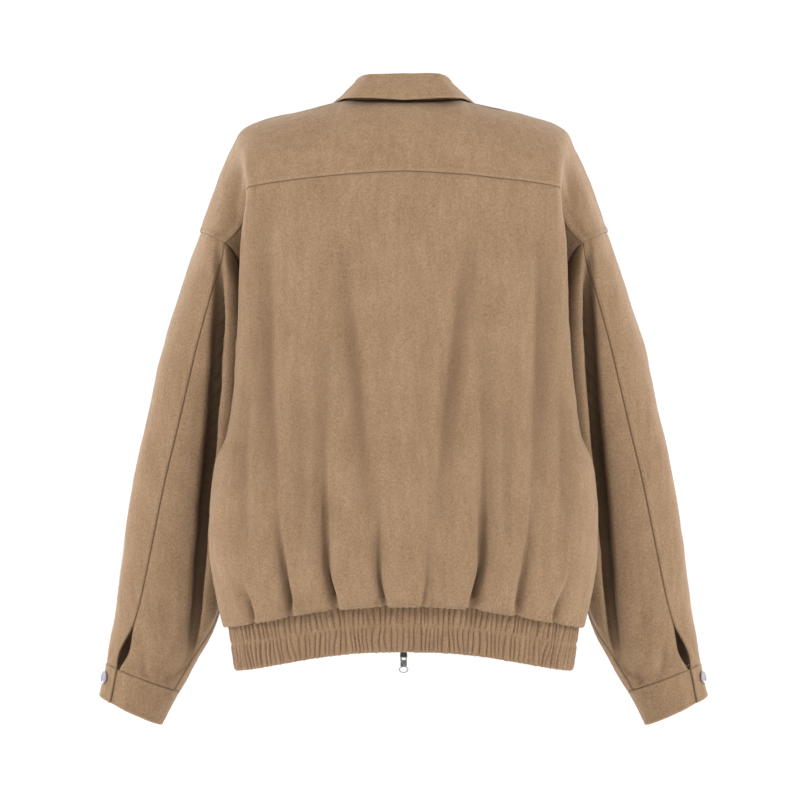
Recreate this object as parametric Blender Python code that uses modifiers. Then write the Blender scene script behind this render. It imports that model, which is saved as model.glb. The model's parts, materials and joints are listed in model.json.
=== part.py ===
"""A boxy zip-up blouson in faux suede, filled out as when it is worn.

Units are metres. +Z is up, the front of the jacket faces -Y and the wearer's left is +X.
The origin is the middle of the neck opening, level with the neck ends of the shoulder seams.
Every cloth piece is a wall between two grids of points, its outer and its inner side. The grids
follow three tables of sections: rings of the body, rings of the sleeve tube and the shoulder
ridge. Only the +X half is described; the other half is its mirror image.
"""

import math
from collections import namedtuple

import bmesh
import bpy
import numpy as np
from mathutils import Matrix, Vector

# ---------------------------------------------------------------- driving sizes
CLOTH = 0.0014  # one layer of suede
DOUBLE_CLOTH = 0.0026  # two layers stitched together: collar and cuffs
BAND_THICKNESS = 0.0030  # two layers of suede over the elastic
SEAM_GAP = 0.00018  # each piece stops this far short of its seam line
YOKE_GAP = 0.00050  # more at the yoke seam, which folds sharply where it meets the back's edge
BAND_HEIGHT = 0.0575
BAND_LEAN = 0.0085  # the band is that much narrower at its lower edge
BAND_CLEARANCE = 0.0014  # between the band and the body's rolled-under edge
ZIP_OPENING = 0.0052  # half of the gap between the two front edges
TEETH_HALF_WIDTH = 0.0027
TEETH_DEPTHS = (0.0022, 0.0046)  # front and back of the teeth, behind the face of the cloth
CHAIN_START, CHAIN_END = 0.0020, 0.012  # the row of teeth stops short of the zip's two ends
TAPE_START, TAPE_END = 0.0015, 0.004
TAPE_EDGE, TAPE_WIDTH = 0.0031, 0.0075
TAPE_DEPTH, TAPE_THICKNESS = 0.0038, 0.0007  # the tape lies behind the cloth of the band
CUFF_UNDERLAP = 30.0  # degrees that the cuff runs on under its own end
CUFF_LAP_BEGINS = 4.0  # degrees past the sleeve's back seam
CUFF_LAP_CLEARANCE = 0.0006  # between the two layers of the lap
CUFF_CLEARANCE = 0.006  # between the sleeve and the cuff, in rings of the sleeve tube
SNAP_RADIUS = 0.0075
SNAP_HEIGHT = 0.0026
SNAP_ANGLE, SNAP_ALONG = 20.0, 0.42  # its place on the cuff
SNAP_CLEARANCE = 0.0004
LOWER_SLIDER_AT, UPPER_SLIDER_AT = -0.0018, 0.0115  # from the zip's two ends
PLATE_WIDTH, PLATE_LENGTH, PLATE_THICKNESS = 0.0092, 0.0110, 0.0012  # a slider's two plates
PLATE_GAP = 0.0004  # between the plates and the teeth
POST_WIDTH, POST_LENGTH = 0.0044, 0.0030  # what joins the plates, beyond the end of the teeth
ARCH_WIDTH, ARCH_LENGTH, ARCH_HEIGHT, ARCH_WALL = 0.0024, 0.0070, 0.0038, 0.0010  # holds the pull
BAR = 0.0011  # side of the bar of the pull that runs under the arch
BAR_CLEARANCE = 0.0004  # between that bar and the arch's end
BAR_DEPTH = 0.0019  # from the front plate out to the middle of the bar
PULL_WIDTH, PULL_LENGTH = 0.0082, 0.0152
WINDOW_WIDTH, WINDOW_LENGTH = 0.0046, 0.0056
RING_WIDTH, RING_HEIGHT, RING_WIRE = 0.0116, 0.0086, 0.0016
METAL_BEVEL = 0.0004

# ---------------------------------------------------------------- section tables
# A ring of the body, from the waistband seam to the yoke seam. Heights at the centre back, at the
# side and in front; half width and depth (y) of its widest point; depth of the centre back and of
# the front; place of the side seam; how far the cloth dips in between the widest point and the
# side seam or the armhole, where the sleeve hangs against it; and the ring's place on the zip,
# which holds the two front edges straight. The second ring is the lowest edge of the blousing,
# rolled under to the seam. From the underarm up the armhole takes the place of the side seam.
Ring = namedtuple(
    "Ring", "z_back z_side z_front width side_y back_y front_y seam_x seam_y dip zip_y zip_z"
)
BODY = (
    Ring(-0.585, -0.6125, -0.599, 0.2065, 0.012, 0.1160, -0.1120, 0.2045, -0.004, 0.000, -0.1180, -0.6005),
    Ring(-0.591, -0.6205, -0.606, 0.2110, 0.012, 0.1245, -0.1200, 0.2085, -0.004, 0.000, -0.1190, -0.5975),
    Ring(-0.584, -0.6085, -0.597, 0.2150, 0.014, 0.1350, -0.1290, 0.2120, -0.006, 0.000, -0.1205, -0.5925),
    Ring(-0.558, -0.5690, -0.561, 0.2225, 0.020, 0.1430, -0.1370, 0.2060, -0.012, 0.001, -0.1270, -0.565),
    Ring(-0.518, -0.5220, -0.520, 0.2275, 0.030, 0.1450, -0.1390, 0.1980, -0.014, 0.002, -0.1330, -0.520),
    Ring(-0.478, -0.4800, -0.479, 0.2262, 0.034, 0.1430, -0.1380, 0.1880, -0.016, 0.003, -0.1355, -0.479),
    Ring(-0.428, -0.4330, -0.431, 0.2215, 0.038, 0.1400, -0.1370, 0.1740, -0.024, 0.004, -0.1362, -0.431),
    Ring(-0.380, -0.3930, -0.385, 0.2070, 0.042, 0.1375, -0.1360, 0.0000, 0.000, 0.006, -0.1360, -0.385),
    Ring(-0.300, -0.3170, -0.303, 0.1974, 0.046, 0.1350, -0.1345, 0.0000, 0.000, 0.007, -0.1345, -0.303),
    Ring(-0.228, -0.2500, -0.233, 0.1930, 0.052, 0.1330, -0.1300, 0.0000, 0.000, 0.008, -0.1300, -0.233),
    Ring(-0.156, -0.1750, -0.168, 0.1893, 0.062, 0.1300, -0.1200, 0.0000, 0.000, 0.009, -0.1200, -0.168),
    Ring(-0.0919, -0.1080, -0.115, 0.1809, 0.076, 0.1220, -0.1030, 0.0000, 0.000, 0.004, -0.1030, -0.115),
)
LEVEL_SHARE = 0.36  # share of the half width over which the hem is level, before it sinks
LEVEL_ROUNDING = 0.2  # how gradually it starts to sink
ZIP_STIFFNESS = 0.055  # how far beside the zip it still holds the front straight
UNDERARM, YOKE, SHOULDER = 7, 11, 12  # levels: rows of BODY, and the shoulder ridge above them
BACK_FLATNESS = 2.35  # exponent of the superellipse that a ring follows behind
FRONT_FLATNESS = 2.15

# A ring of the sleeve tube: its outer and inner ends, the depth of its middle, half its depth
# front to back, where the long crease behind it lies and how deep it is, and the angles of the
# back seam and of the underarm seam. Angles go from the outer end (0) over the back (90).
Tube = namedtuple("Tube", "outer_x outer_z inner_x inner_z y depth crease_x crease seam under")
SLEEVE = (
    Tube(0.2405, -0.1556, 0.1880, -0.1800, -0.020, 0.072, 0.2140, 0.002, 103, 188),  # 0
    Tube(0.2660, -0.2262, 0.1780, -0.2604, -0.032, 0.066, 0.2155, 0.014, 82, 188),  # 1
    Tube(0.2890, -0.2995, 0.1770, -0.3300, -0.040, 0.061, 0.2195, 0.019, 75, 188),  # 2
    Tube(0.3055, -0.3729, 0.1850, -0.4000, -0.050, 0.058, 0.2255, 0.021, 71, 188),  # 3
    Tube(0.3230, -0.4467, 0.1990, -0.4713, -0.062, 0.055, 0.2335, 0.021, 69, 188),  # 4
    Tube(0.3355, -0.5211, 0.2095, -0.5433, -0.075, 0.052, 0.2405, 0.019, 65, 184),  # 5
    Tube(0.3455, -0.5960, 0.2224, -0.6134, -0.087, 0.048, 0.2480, 0.014, 59, 167),  # 6
    Tube(0.3540, -0.6400, 0.2491, -0.6687, -0.096, 0.042, 0.2590, 0.005, 55, 152),  # 7
    Tube(0.3593, -0.6712, 0.2697, -0.7051, -0.100, 0.036, 0.2900, 0.000, 50, 149),  # 8 cuff seam
    Tube(0.3685, -0.7120, 0.2932, -0.7475, -0.105, 0.033, 0.3100, 0.000, 55, 149),  # 9 cuff end
)
CUFF_SEAM, CUFF_END = 8, 9
CREASE_OUTSIDE = 0.020  # the crease fades slowly towards the outside of the arm
CREASE_INSIDE = 0.014  # and climbs faster on the side of the body
SLIT_TOP = 6.38  # the sleeve's slit opens below this ring
SLIT_WIDTH = 15.0  # degrees, at its widest

# The armhole: the angle and the ring of the sleeve tube at each level, behind and in front.
Armhole = namedtuple("Armhole", "level back_angle back_ring front_angle front_ring")
ARMHOLE = (
    Armhole(7.0, 188, 3.05, -172, 3.05),  # underarm
    Armhole(8.0, 178, 2.00, -155, 1.95),
    Armhole(9.0, 168, 1.10, -138, 1.05),
    Armhole(10.0, 152, 0.38, -119, 0.42),
    Armhole(11.0, 103, 0.00, -96, 0.08),  # end of the yoke seam
    Armhole(11.5, 55, 0.00, -48, 0.00),
    Armhole(12.0, 0, 0.00, 0, 0.00),  # end of the shoulder seam
)

# The neckline is half an ellipse behind and half in front; the ridge runs on from it.
NECK_WIDTH, NECK_Y, NECK_Z = 0.068, 0.000, -0.001
NAPE_Y, NAPE_Z = 0.060, -0.006
THROAT_Y, THROAT_Z = -0.076, -0.054
Ridge = namedtuple("Ridge", "x y z")
RIDGE = (
    Ridge(NECK_WIDTH, NECK_Y, NECK_Z),
    Ridge(0.1000, -0.006, -0.0080),
    Ridge(0.1590, -0.011, -0.0210),
    Ridge(0.1815, -0.014, -0.0290),
    Ridge(0.1920, -0.015, -0.0370),
    Ridge(0.2042, -0.016, -0.0600),
    Ridge(0.2245, -0.018, -0.1060),
    Ridge(0.2405, -0.020, -0.1556),
)
NECK_SHARE = 0.34  # share of a row's columns that ends on the neckline
ARCH, THROAT_ARCH = 0.88, 0.35  # how fully the cloth arches over the shoulder, and at the zip
THROAT_REACH = 0.1  # how far beside the zip the arch takes to become full
SHOULDER_SHARE = 0.55  # share of a row past which it bends to meet the armhole

# A fold of the back or the front: the places of its foot, middle and head as seen from behind,
# its half width and its depth. Each is mirrored.
Fold = namedtuple("Fold", "foot_x foot_z mid_x mid_z head_x head_z width depth")
BACK_FOLDS = (
    Fold(0.1790, -0.628, 0.1900, -0.598, 0.1990, -0.575, 0.010, 0.008),
    Fold(0.1320, -0.616, 0.1420, -0.575, 0.1620, -0.400, 0.012, 0.010),
    Fold(0.0765, -0.609, 0.0880, -0.560, 0.1000, -0.400, 0.010, 0.009),
    Fold(0.0200, -0.607, 0.0290, -0.520, 0.0700, -0.260, 0.011, 0.007),
)
FRONT_FOLDS = (
    Fold(0.1650, -0.632, 0.1720, -0.590, 0.1800, -0.520, 0.011, 0.008),
    Fold(0.1150, -0.626, 0.1240, -0.570, 0.1350, -0.430, 0.012, 0.009),
    Fold(0.0620, -0.622, 0.0680, -0.560, 0.0800, -0.420, 0.011, 0.008),
)

# The collar at angles from the nape (0) to the throat (180): its roll line and its lower edge.
Collar = namedtuple("Collar", "angle roll_x roll_y roll_z edge_x edge_y edge_z")
COLLAR = (
    Collar(0, 0.0000, 0.0600, 0.0270, 0.0000, 0.0850, -0.0062),
    Collar(40, 0.0400, 0.0500, 0.0268, 0.0570, 0.0705, -0.0026),
    Collar(90, 0.0560, 0.0040, 0.0180, 0.0790, 0.0060, -0.0008),
    Collar(130, 0.0460, -0.0440, -0.0060, 0.0940, -0.0600, -0.0150),
    Collar(158, 0.0260, -0.0740, -0.0330, 0.0850, -0.1020, -0.0560),
    Collar(173, 0.0090, -0.0850, -0.0440, 0.0600, -0.1200, -0.0960),
)
ROLL_RADIUS = 0.0035
COLLAR_CLEARANCE = 0.0014  # between the collar and the neck seam under it
COLLAR_END = 173.0  # degrees: the two ends of the collar stop short of the zip
STAND_HOLLOW, FALL_CROWN = 0.001, 0.0015  # how far the stand curves in and the fall curves out

# ---------------------------------------------------------------- scene and materials
for old in list(bpy.data.objects):
    bpy.data.objects.remove(old)
jacket = bpy.data.collections.new("suede_jacket")
bpy.context.scene.collection.children.link(jacket)


def principled(name, colour, roughness, metallic=0.0):
    material = bpy.data.materials.new(name)
    material.use_nodes = True
    shader = material.node_tree.nodes["Principled BSDF"]
    shader.inputs["Base Color"].default_value = (*colour, 1.0)
    shader.inputs["Roughness"].default_value = roughness
    shader.inputs["Metallic"].default_value = metallic
    return material


suede = principled("tan_suede", (0.40, 0.25, 0.15), 0.95)
tape_cloth = principled("zip_tape", (0.16, 0.10, 0.06), 0.9)
nickel = principled("nickel", (0.55, 0.54, 0.52), 0.3, 1.0)
gunmetal = principled("gunmetal", (0.08, 0.07, 0.065), 0.35, 1.0)


# ---------------------------------------------------------------- curves through tables
def column(table, name):
    return np.array([getattr(row, name) for row in table], float)


def through(knots, values, at):
    """A curve through the knots that never overshoots them (monotone cubic Hermite)."""
    knots, values, at = (np.asarray(a, float) for a in (knots, values, at))
    step = np.diff(knots)
    rise = np.diff(values) / step
    slope = np.empty_like(values)
    slope[0], slope[-1] = rise[0], rise[-1]
    same_way = rise[:-1] * rise[1:] > 0
    inner = np.zeros(len(rise) - 1)
    inner[same_way] = 2 / (1 / rise[:-1][same_way] + 1 / rise[1:][same_way])
    slope[1:-1] = inner
    at = np.clip(at, knots[0], knots[-1])
    i = np.clip(np.searchsorted(knots, at, side="right") - 1, 0, len(step) - 1)
    t = (at - knots[i]) / step[i]
    left = values[i] * (1 + 2 * t) * (1 - t) ** 2 + slope[i] * step[i] * t * (1 - t) ** 2
    return left + values[i + 1] * t * t * (3 - 2 * t) + slope[i + 1] * step[i] * t * t * (t - 1)


def row_at(table, at):
    """A row of the table between its rows, at a fractional index."""
    knots = np.arange(len(table))
    return type(table[0])(*(through(knots, column(table, n), at) for n in table[0]._fields))


def smooth(t):
    t = np.clip(t, 0.0, 1.0)
    return t * t * (3 - 2 * t)


def spaced(points, shares):
    """Points at the given shares of a polyline's length."""
    along = np.concatenate(([0.0], np.cumsum(np.linalg.norm(np.diff(points, axis=0), axis=1))))
    at = np.asarray(shares) * along[-1]
    return np.stack([np.interp(at, along, points[:, k]) for k in range(3)], axis=1)


def hermite(start, end, start_pull, end_pull, count):
    t = np.linspace(0, 1, count)[:, None]
    ease = t * t * (3 - 2 * t)
    return (
        start * (1 - ease)
        + end * ease
        + start_pull * t * (1 - t) ** 2
        + end_pull * t * t * (t - 1)
    )


# ---------------------------------------------------------------- the sleeve tube
def tube(angle, ring):
    """A point of the sleeve tube at an angle in degrees and a fractional ring."""
    row = row_at(SLEEVE, ring)
    turn = np.radians(angle)
    side, back = np.cos(turn), np.sin(turn)
    x = (row.outer_x + row.inner_x) / 2 + (row.outer_x - row.inner_x) / 2 * side
    z = (row.outer_z + row.inner_z) / 2 + (row.outer_z - row.inner_z) / 2 * side
    away = x - row.crease_x
    reach = np.where(away > 0, CREASE_OUTSIDE, CREASE_INSIDE)
    trough = row.crease * np.exp(-((away / reach) ** 2)) * smooth(back * 4)
    return np.stack([x, row.y + row.depth * back - trough, z], axis=-1)


def armhole(level, behind):
    """(angle, ring) on the sleeve tube of the armhole seam at a level."""
    levels = column(ARMHOLE, "level")
    side = "back" if behind else "front"
    angle = through(levels, column(ARMHOLE, side + "_angle"), level)
    return angle, through(levels, column(ARMHOLE, side + "_ring"), level)


# ---------------------------------------------------------------- the body's surface
def slope(across, level):
    """How far a row has sunk at a share of the half width: the hem is level in the middle."""
    level_part = LEVEL_SHARE * (1 - smooth((level - 2) / 3))

    def sunk(share):
        return share - level_part + np.hypot(share - level_part, LEVEL_ROUNDING)

    return (sunk(across) - sunk(0)) / (sunk(1) - sunk(0))


def body_row(level, behind, shares):
    """A row of the body from its centre line to the side seam or the armhole, at one level."""
    ring = row_at(BODY, min(level, YOKE))
    centre_z, centre_y = (ring.z_back, ring.back_y) if behind else (ring.z_front, ring.front_y)
    if level >= UNDERARM:
        seam = tube(*armhole(level, behind))
    else:
        free = row_at(BODY[:UNDERARM], level)
        seam = np.array([free.seam_x, free.seam_y, ring.z_side])
        joining = np.clip(level - UNDERARM + 1, 0, 1) ** 3
        seam = seam + (tube(*armhole(UNDERARM, behind)) - seam) * joining
    turn = np.linspace(0, math.pi / 2, 60)
    flatness = BACK_FLATNESS if behind else FRONT_FLATNESS
    sine, cosine = np.sin(turn) ** (2 / flatness), np.cos(turn) ** (2 / flatness)
    if not behind:
        x = seam[0] * sine
        y = seam[1] + (centre_y - seam[1]) * cosine
        z = centre_z + (seam[2] - centre_z) * smooth(x / seam[0])
        held = 1 - smooth((x - TAPE_WIDTH) / ZIP_STIFFNESS)
        y += (ring.zip_y - centre_y) * held
        z += (ring.zip_z - centre_z) * held
        return spaced(np.stack([x, y, z], axis=1), shares)
    x = ring.width * sine
    y = ring.side_y + (centre_y - ring.side_y) * cosine
    z = centre_z + (ring.z_side - centre_z) * slope(x / ring.width, level)
    edge = np.array([ring.width, ring.side_y, ring.z_side])
    reach = np.linalg.norm(seam - edge)
    above = smooth((level - UNDERARM) / (YOKE - UNDERARM))
    start_pull = np.array([0.0, -1.0, -0.4 * above]) * reach
    under_arm = smooth(1 - abs(level - UNDERARM - 0.6) / 1.6)
    end_pull = np.array([0.9 * above + 0.6 * under_arm, above - 1.0, -0.6 * above]) * reach
    tail = hermite(edge, seam, start_pull, end_pull, 30)
    tail[:, 0] -= ring.dip * np.sin(np.linspace(0, math.pi, 30)) ** 2
    return spaced(np.concatenate([np.stack([x, y, z], axis=1), tail[1:]]), shares)


def neckline(angle):
    """The neck seam at an angle from the nape (0) by the shoulder (90) to the throat (180)."""
    turn = np.radians(angle)
    ahead = np.clip(-np.cos(turn), 0, 1)
    behind = np.clip(np.cos(turn), 0, 1)
    y = NECK_Y + (NAPE_Y - NECK_Y) * behind + (THROAT_Y - NECK_Y) * ahead
    z = NECK_Z + (NAPE_Z - NECK_Z) * behind + (THROAT_Z - NECK_Z) * ahead**1.3
    return np.stack([NECK_WIDTH * np.sin(turn), y, z], axis=-1)


def top_edge(behind, shares):
    """The neckline from the centre line to the shoulder, then the ridge out to the armhole."""
    shares = np.asarray(shares)
    sweep = np.linspace(0, 90, 30) if behind else np.linspace(180, 90, 30)
    neck = spaced(neckline(sweep), np.clip(shares / NECK_SHARE, 0, 1))
    knots = np.arange(len(RIDGE))
    fine = np.linspace(0, len(RIDGE) - 1, 80)
    ridge = np.stack([through(knots, column(RIDGE, n), fine) for n in Ridge._fields], axis=1)
    ridge = spaced(ridge, np.clip((shares - NECK_SHARE) / (1 - NECK_SHARE), 0, 1))
    return np.where(shares[:, None] < NECK_SHARE, neck, ridge)


def shoulder_row(level, behind, shares):
    """A row above the yoke seam's level: it arches up and over to the top edge."""
    rise = level - YOKE
    low, high = body_row(YOKE, behind, shares), top_edge(behind, shares)
    turn = rise * math.pi / 2
    arch = np.full(len(shares), ARCH)
    if not behind:
        arch = THROAT_ARCH + (ARCH - THROAT_ARCH) * smooth(low[:, 0] / THROAT_REACH)
    across = (1 - arch) * (1 - rise) + arch * math.cos(turn)
    up = (1 - arch) * rise + arch * math.sin(turn)
    row = high + (low - high) * (1 - rise)
    row[:, 1] = high[:, 1] + (low[:, 1] - high[:, 1]) * across
    row[:, 2] = low[:, 2] + (high[:, 2] - low[:, 2]) * up
    miss = tube(*armhole(level, behind)) - row[-1]
    return row + miss * smooth((np.asarray(shares) - SHOULDER_SHARE) / (1 - SHOULDER_SHARE))[:, None]


def fold_depth(point, folds):
    """How far a point is pushed in by the folds."""
    x, z = abs(point[0]), point[2]
    depth = 0.0
    for fold in folds:
        heights = (fold.foot_z, fold.mid_z, fold.head_z)
        if z > fold.head_z:
            continue
        path_x = through(heights, (fold.foot_x, fold.mid_x, fold.head_x), max(z, fold.foot_z))
        fade = smooth((fold.head_z - z) / (fold.head_z - fold.foot_z))
        depth += fold.depth * fade * math.exp(-(((x - path_x) / fold.width) ** 2))
    return depth


def body_surface(levels, behind, shares):
    """Rows of points, from the centre line outwards, with the folds pressed in."""
    rows = []
    for level in levels:
        make = shoulder_row if level > YOKE else body_row
        row = make(level, behind, shares)
        if 0 < level < YOKE:
            for point in row:
                inwards = Vector((point[0], point[1] * 2.0, 0)).normalized()
                near_seam = min(1.0, level) ** 2
                depth = fold_depth(point, BACK_FOLDS if behind else FRONT_FOLDS) * near_seam
                point -= np.array(inwards) * depth
        rows.append(row)
    return np.array(rows)


# ---------------------------------------------------------------- making solids
def inset(grid, low_row, high_row, low_column, high_column):
    """Moves the border rows and columns in by the given distances, away from the seams."""
    grid = grid.copy()

    def pull(edge, inner, distance):
        way = inner - edge
        return edge + way / np.linalg.norm(way, axis=1, keepdims=True) * distance

    grid[0] = pull(grid[0], grid[1], low_row)
    grid[-1] = pull(grid[-1], grid[-2], high_row)
    grid[:, 0] = pull(grid[:, 0], grid[:, 1], low_column)
    grid[:, -1] = pull(grid[:, -1], grid[:, -2], high_column)
    return grid


def inwards_of(grid, outside):
    """Unit directions into the wall at each point of a grid. outside is a point out in front."""
    along = np.gradient(grid, axis=1)
    up = np.gradient(grid, axis=0)
    into = np.cross(along, up)
    into /= np.linalg.norm(into, axis=2, keepdims=True)
    away = grid - np.asarray(outside, float)
    nearest = np.unravel_index(np.argmin(np.linalg.norm(away, axis=2)), away.shape[:2])
    return into if into[nearest] @ away[nearest] > 0 else -into


SHARPEST_MITRE = 0.6  # cosine; past it, as where the body folds under the arm, walls turn apart


def place_of(point):
    return tuple(np.round(point, 5))


class Shell:
    """Surfaces sewn edge to edge. Where they meet, their walls share one direction, like a mitre."""

    def __init__(self):
        self.pieces = []
        self.meeting = {}

    def add(self, name, part, grid, outside, gaps, thickness=CLOTH, material=suede):
        """part is the tube that the piece belongs to: the body, a sleeve or the band."""
        into = inwards_of(grid, outside)
        self.pieces.append((name, part, grid, into, gaps, thickness, material))
        for point, way in zip(grid.reshape(-1, 3), into.reshape(-1, 3)):
            for key in (place_of(point), (part, place_of(point))):
                self.meeting[key] = self.meeting.get(key, np.zeros(3)) + way

    def mean_direction(self, grid, part=None):
        keys = [place_of(point) for point in grid.reshape(-1, 3)]
        ways = np.array([self.meeting[(part, key) if part else key] for key in keys])
        ways /= np.linalg.norm(ways, axis=1, keepdims=True)
        return ways.reshape(grid.shape)

    def build(self):
        for name, part, grid, into, gaps, thickness, material in self.pieces:
            shared = self.mean_direction(grid)
            folded_back = np.sum(shared * into, axis=2) < SHARPEST_MITRE
            shared[folded_back] = self.mean_direction(grid, part)[folded_back]
            shared[:, 1:-1] += (shared[:, :-2] + shared[:, 2:]) / 2
            shared /= np.linalg.norm(shared, axis=2, keepdims=True)
            outer = inset(grid, *gaps)
            wall(name, outer, outer + shared * thickness, material)


def wall(name, outer, inner, material):
    """A closed solid between two grids of the same shape."""
    rows, columns = outer.shape[:2]
    solid = bmesh.new()
    bmesh.ops.create_grid(solid, x_segments=columns - 1, y_segments=rows - 1, size=1.0)
    front = list(solid.faces)
    rim = [edge for edge in solid.edges if edge.is_boundary]
    copy = bmesh.ops.duplicate(solid, geom=front)
    back = [item for item in copy["geom"] if isinstance(item, bmesh.types.BMFace)]
    back_verts = {vert for face in back for vert in face.verts}
    back_rim = [edge for edge in solid.edges if edge.is_boundary and edge.verts[0] in back_verts]
    for vert in solid.verts:
        i = round((vert.co.y + 1) / 2 * (rows - 1))
        j = round((vert.co.x + 1) / 2 * (columns - 1))
        vert.co = Vector(inner[i, j] if vert in back_verts else outer[i, j])
    bmesh.ops.bridge_loops(solid, edges=rim + back_rim)
    bmesh.ops.recalc_face_normals(solid, faces=solid.faces)
    mesh = bpy.data.meshes.new(name)
    solid.to_mesh(mesh)
    solid.free()
    mesh.shade_smooth()
    obj = bpy.data.objects.new(name, mesh)
    bpy.context.scene.collection.objects.link(obj)
    return finish(obj, material)


def finish(obj, material):
    """Gives a piece its only material and puts it in the jacket's collection."""
    obj.data.materials.clear()
    obj.data.materials.append(material)
    for collection in list(obj.users_collection):
        collection.objects.unlink(obj)
    jacket.objects.link(obj)
    return obj


def both_halves(half):
    """A half that starts on the centre line, with its mirror image joined on."""
    return np.concatenate([half[:, :0:-1] * np.array([-1.0, 1.0, 1.0]), half], axis=1)


def mirrored(grid):
    return grid * np.array([-1.0, 1.0, 1.0])


SIDES = (("left", lambda grid: grid), ("right", mirrored))

# ---------------------------------------------------------------- levels and columns
LOW_LEVELS = [0, 0.5, 1, 1.5, 2, 3, 4, 5, 6]
ARM_LEVELS = [7, 7.5, 8, 8.5, 9, 9.5, 10, 10.5, 11]
TOP_LEVELS = [11, 11.25, 11.5, 11.75, 12]
SIDE_SHARE = 0.70  # share of a row past which its columns lie closer together
BY_NECK, BY_SHOULDER, BY_SIDE = 3, 4, 6  # columns in each of the three stretches of a row
SHARES = np.concatenate(
    [
        np.linspace(0, NECK_SHARE, BY_NECK + 1),
        np.linspace(NECK_SHARE, SIDE_SHARE, BY_SHOULDER + 1)[1:],
        np.linspace(SIDE_SHARE, 1, BY_SIDE + 1)[1:],
    ]
)


def from_opening(grid):
    """A front's first column moved from the centre line to the edge by the zip."""
    grid = grid.copy()
    grid[:, 0, 0] = ZIP_OPENING
    return grid


# ---------------------------------------------------------------- back, yoke and fronts
shell = Shell()
SEWN = (SEAM_GAP, SEAM_GAP, SEAM_GAP, SEAM_GAP)
back = both_halves(body_surface(LOW_LEVELS + ARM_LEVELS, True, SHARES))
gaps = (SEAM_GAP, YOKE_GAP, SEAM_GAP, SEAM_GAP)
shell.add("back_panel", "body", back, (0, 1, -0.3), gaps)
yoke = both_halves(body_surface(TOP_LEVELS, True, SHARES))
gaps = (YOKE_GAP, SEAM_GAP, SEAM_GAP, SEAM_GAP)
shell.add("back_yoke", "body", yoke, (0, 1, 0.4), gaps)
front_levels = LOW_LEVELS + ARM_LEVELS + TOP_LEVELS[1:]
front = from_opening(body_surface(front_levels, False, SHARES))
for side, place in SIDES:
    outside = place(np.array([0.1, -1.0, -0.3]))
    gaps = (SEAM_GAP, SEAM_GAP, 0.0, SEAM_GAP)
    shell.add(f"front_{side}", "body", place(front), outside, gaps)


# ---------------------------------------------------------------- sleeves
def slit(ring, share_from_seam):
    """How far, in degrees, the slit pushes the cloth beside the back seam away from it."""
    down = np.clip((ring - SLIT_TOP) / (CUFF_SEAM - SLIT_TOP), 0, 1)
    lens = 0.75 * np.sin(np.pi * down**1.3) + 0.30 * smooth(down * 1.5)
    return SLIT_WIDTH / 2 * lens * np.clip(1 - share_from_seam * 6, 0, 1)


def sleeve_grid(starts, drops, top):
    """Columns that start at the given armhole points (angle, ring) and run down to the cuff seam."""
    ends = np.linspace(0, 1, len(starts))
    grid = np.empty((len(drops), len(starts), 3))
    for j, ((angle, ring), end) in enumerate(zip(starts, ends)):
        rings = ring + (CUFF_SEAM - ring) * drops
        rows = row_at(SLEEVE, rings)
        first = row_at(SLEEVE, ring)
        whole_turn = 360 if top else 0
        span = rows.under - rows.seam - whole_turn
        start = (angle - first.seam) / (first.under - first.seam - whole_turn)
        share = start + (end - start) * drops
        way = -1 if top else 1
        grid[:, j] = tube(rows.seam + span * share + way * slit(rings, share), rings)
    return grid


DROPS = np.array([0, 0.08, 0.17, 0.27, 0.37, 0.47, 0.57, 0.68, 0.78, 0.86, 0.93, 1.0])
under_starts = [armhole(level, True) for level in ARM_LEVELS[::-1]]
top_starts = [armhole(level, True) for level in TOP_LEVELS]
top_starts += [armhole(level, False) for level in (ARM_LEVELS + TOP_LEVELS[1:-1])[::-1]]
under = sleeve_grid(under_starts, DROPS, top=False)
over = sleeve_grid(top_starts, DROPS, top=True)
for side, place in SIDES:
    behind, beside = place(np.array([0.26, 0.4, -0.45])), place(np.array([0.9, -0.1, -0.45]))
    shell.add(f"sleeve_under_{side}", f"sleeve_{side}", place(under), behind, SEWN)
    shell.add(f"sleeve_top_{side}", f"sleeve_{side}", place(over), beside, SEWN)
shell.build()


# ---------------------------------------------------------------- cuffs
def cuff_grid():
    """From the outer end of the lap, round the arm and on under the lap."""
    sinks, sunk = 330, 355  # degrees where the cuff starts to dive under its end, and is under it
    lap_end = 360 + CUFF_UNDERLAP
    turned = np.concatenate([np.linspace(0, sinks, 18), np.linspace(sinks + 15, lap_end, 6)])
    under_lap = smooth((turned - sinks) / (sunk - sinks)) * (DOUBLE_CLOTH + CUFF_LAP_CLEARANCE)
    rings = np.linspace(CUFF_SEAM + CUFF_CLEARANCE, CUFF_END, 3)
    grid = np.empty((len(rings), len(turned), 3))
    for i, ring in enumerate(rings):
        row = row_at(SLEEVE, ring)
        surface = tube(row.seam - CUFF_LAP_BEGINS - turned, np.full(len(turned), ring))
        middle = np.array([(row.outer_x + row.inner_x) / 2, row.y, (row.outer_z + row.inner_z) / 2])
        inwards = middle - surface
        inwards /= np.linalg.norm(inwards, axis=1, keepdims=True)
        grid[i] = surface + inwards * under_lap[:, None]
    return grid


for side, place in SIDES:
    cuff = place(cuff_grid())
    into = inwards_of(cuff, place(np.array([0.9, -0.1, -0.7])))
    wall(f"cuff_{side}", cuff, cuff + into * DOUBLE_CLOTH, suede)


# ---------------------------------------------------------------- waistband
def band_grid(behind, shares):
    """The band hangs from the body's lowest row, straight down and a little inwards."""
    top = body_row(0, behind, shares)
    rows = []
    for drop in (0.0, 0.5, 1.0):
        row = top.copy()
        row[:, 0] *= 1 - drop * BAND_LEAN / BODY[0].width
        row[:, 1] -= drop * BAND_LEAN * row[:, 1] / BODY[0].back_y
        row[:, 2] -= BAND_CLEARANCE + drop * BAND_HEIGHT
        rows.append(row)
    return np.array(rows)


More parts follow.
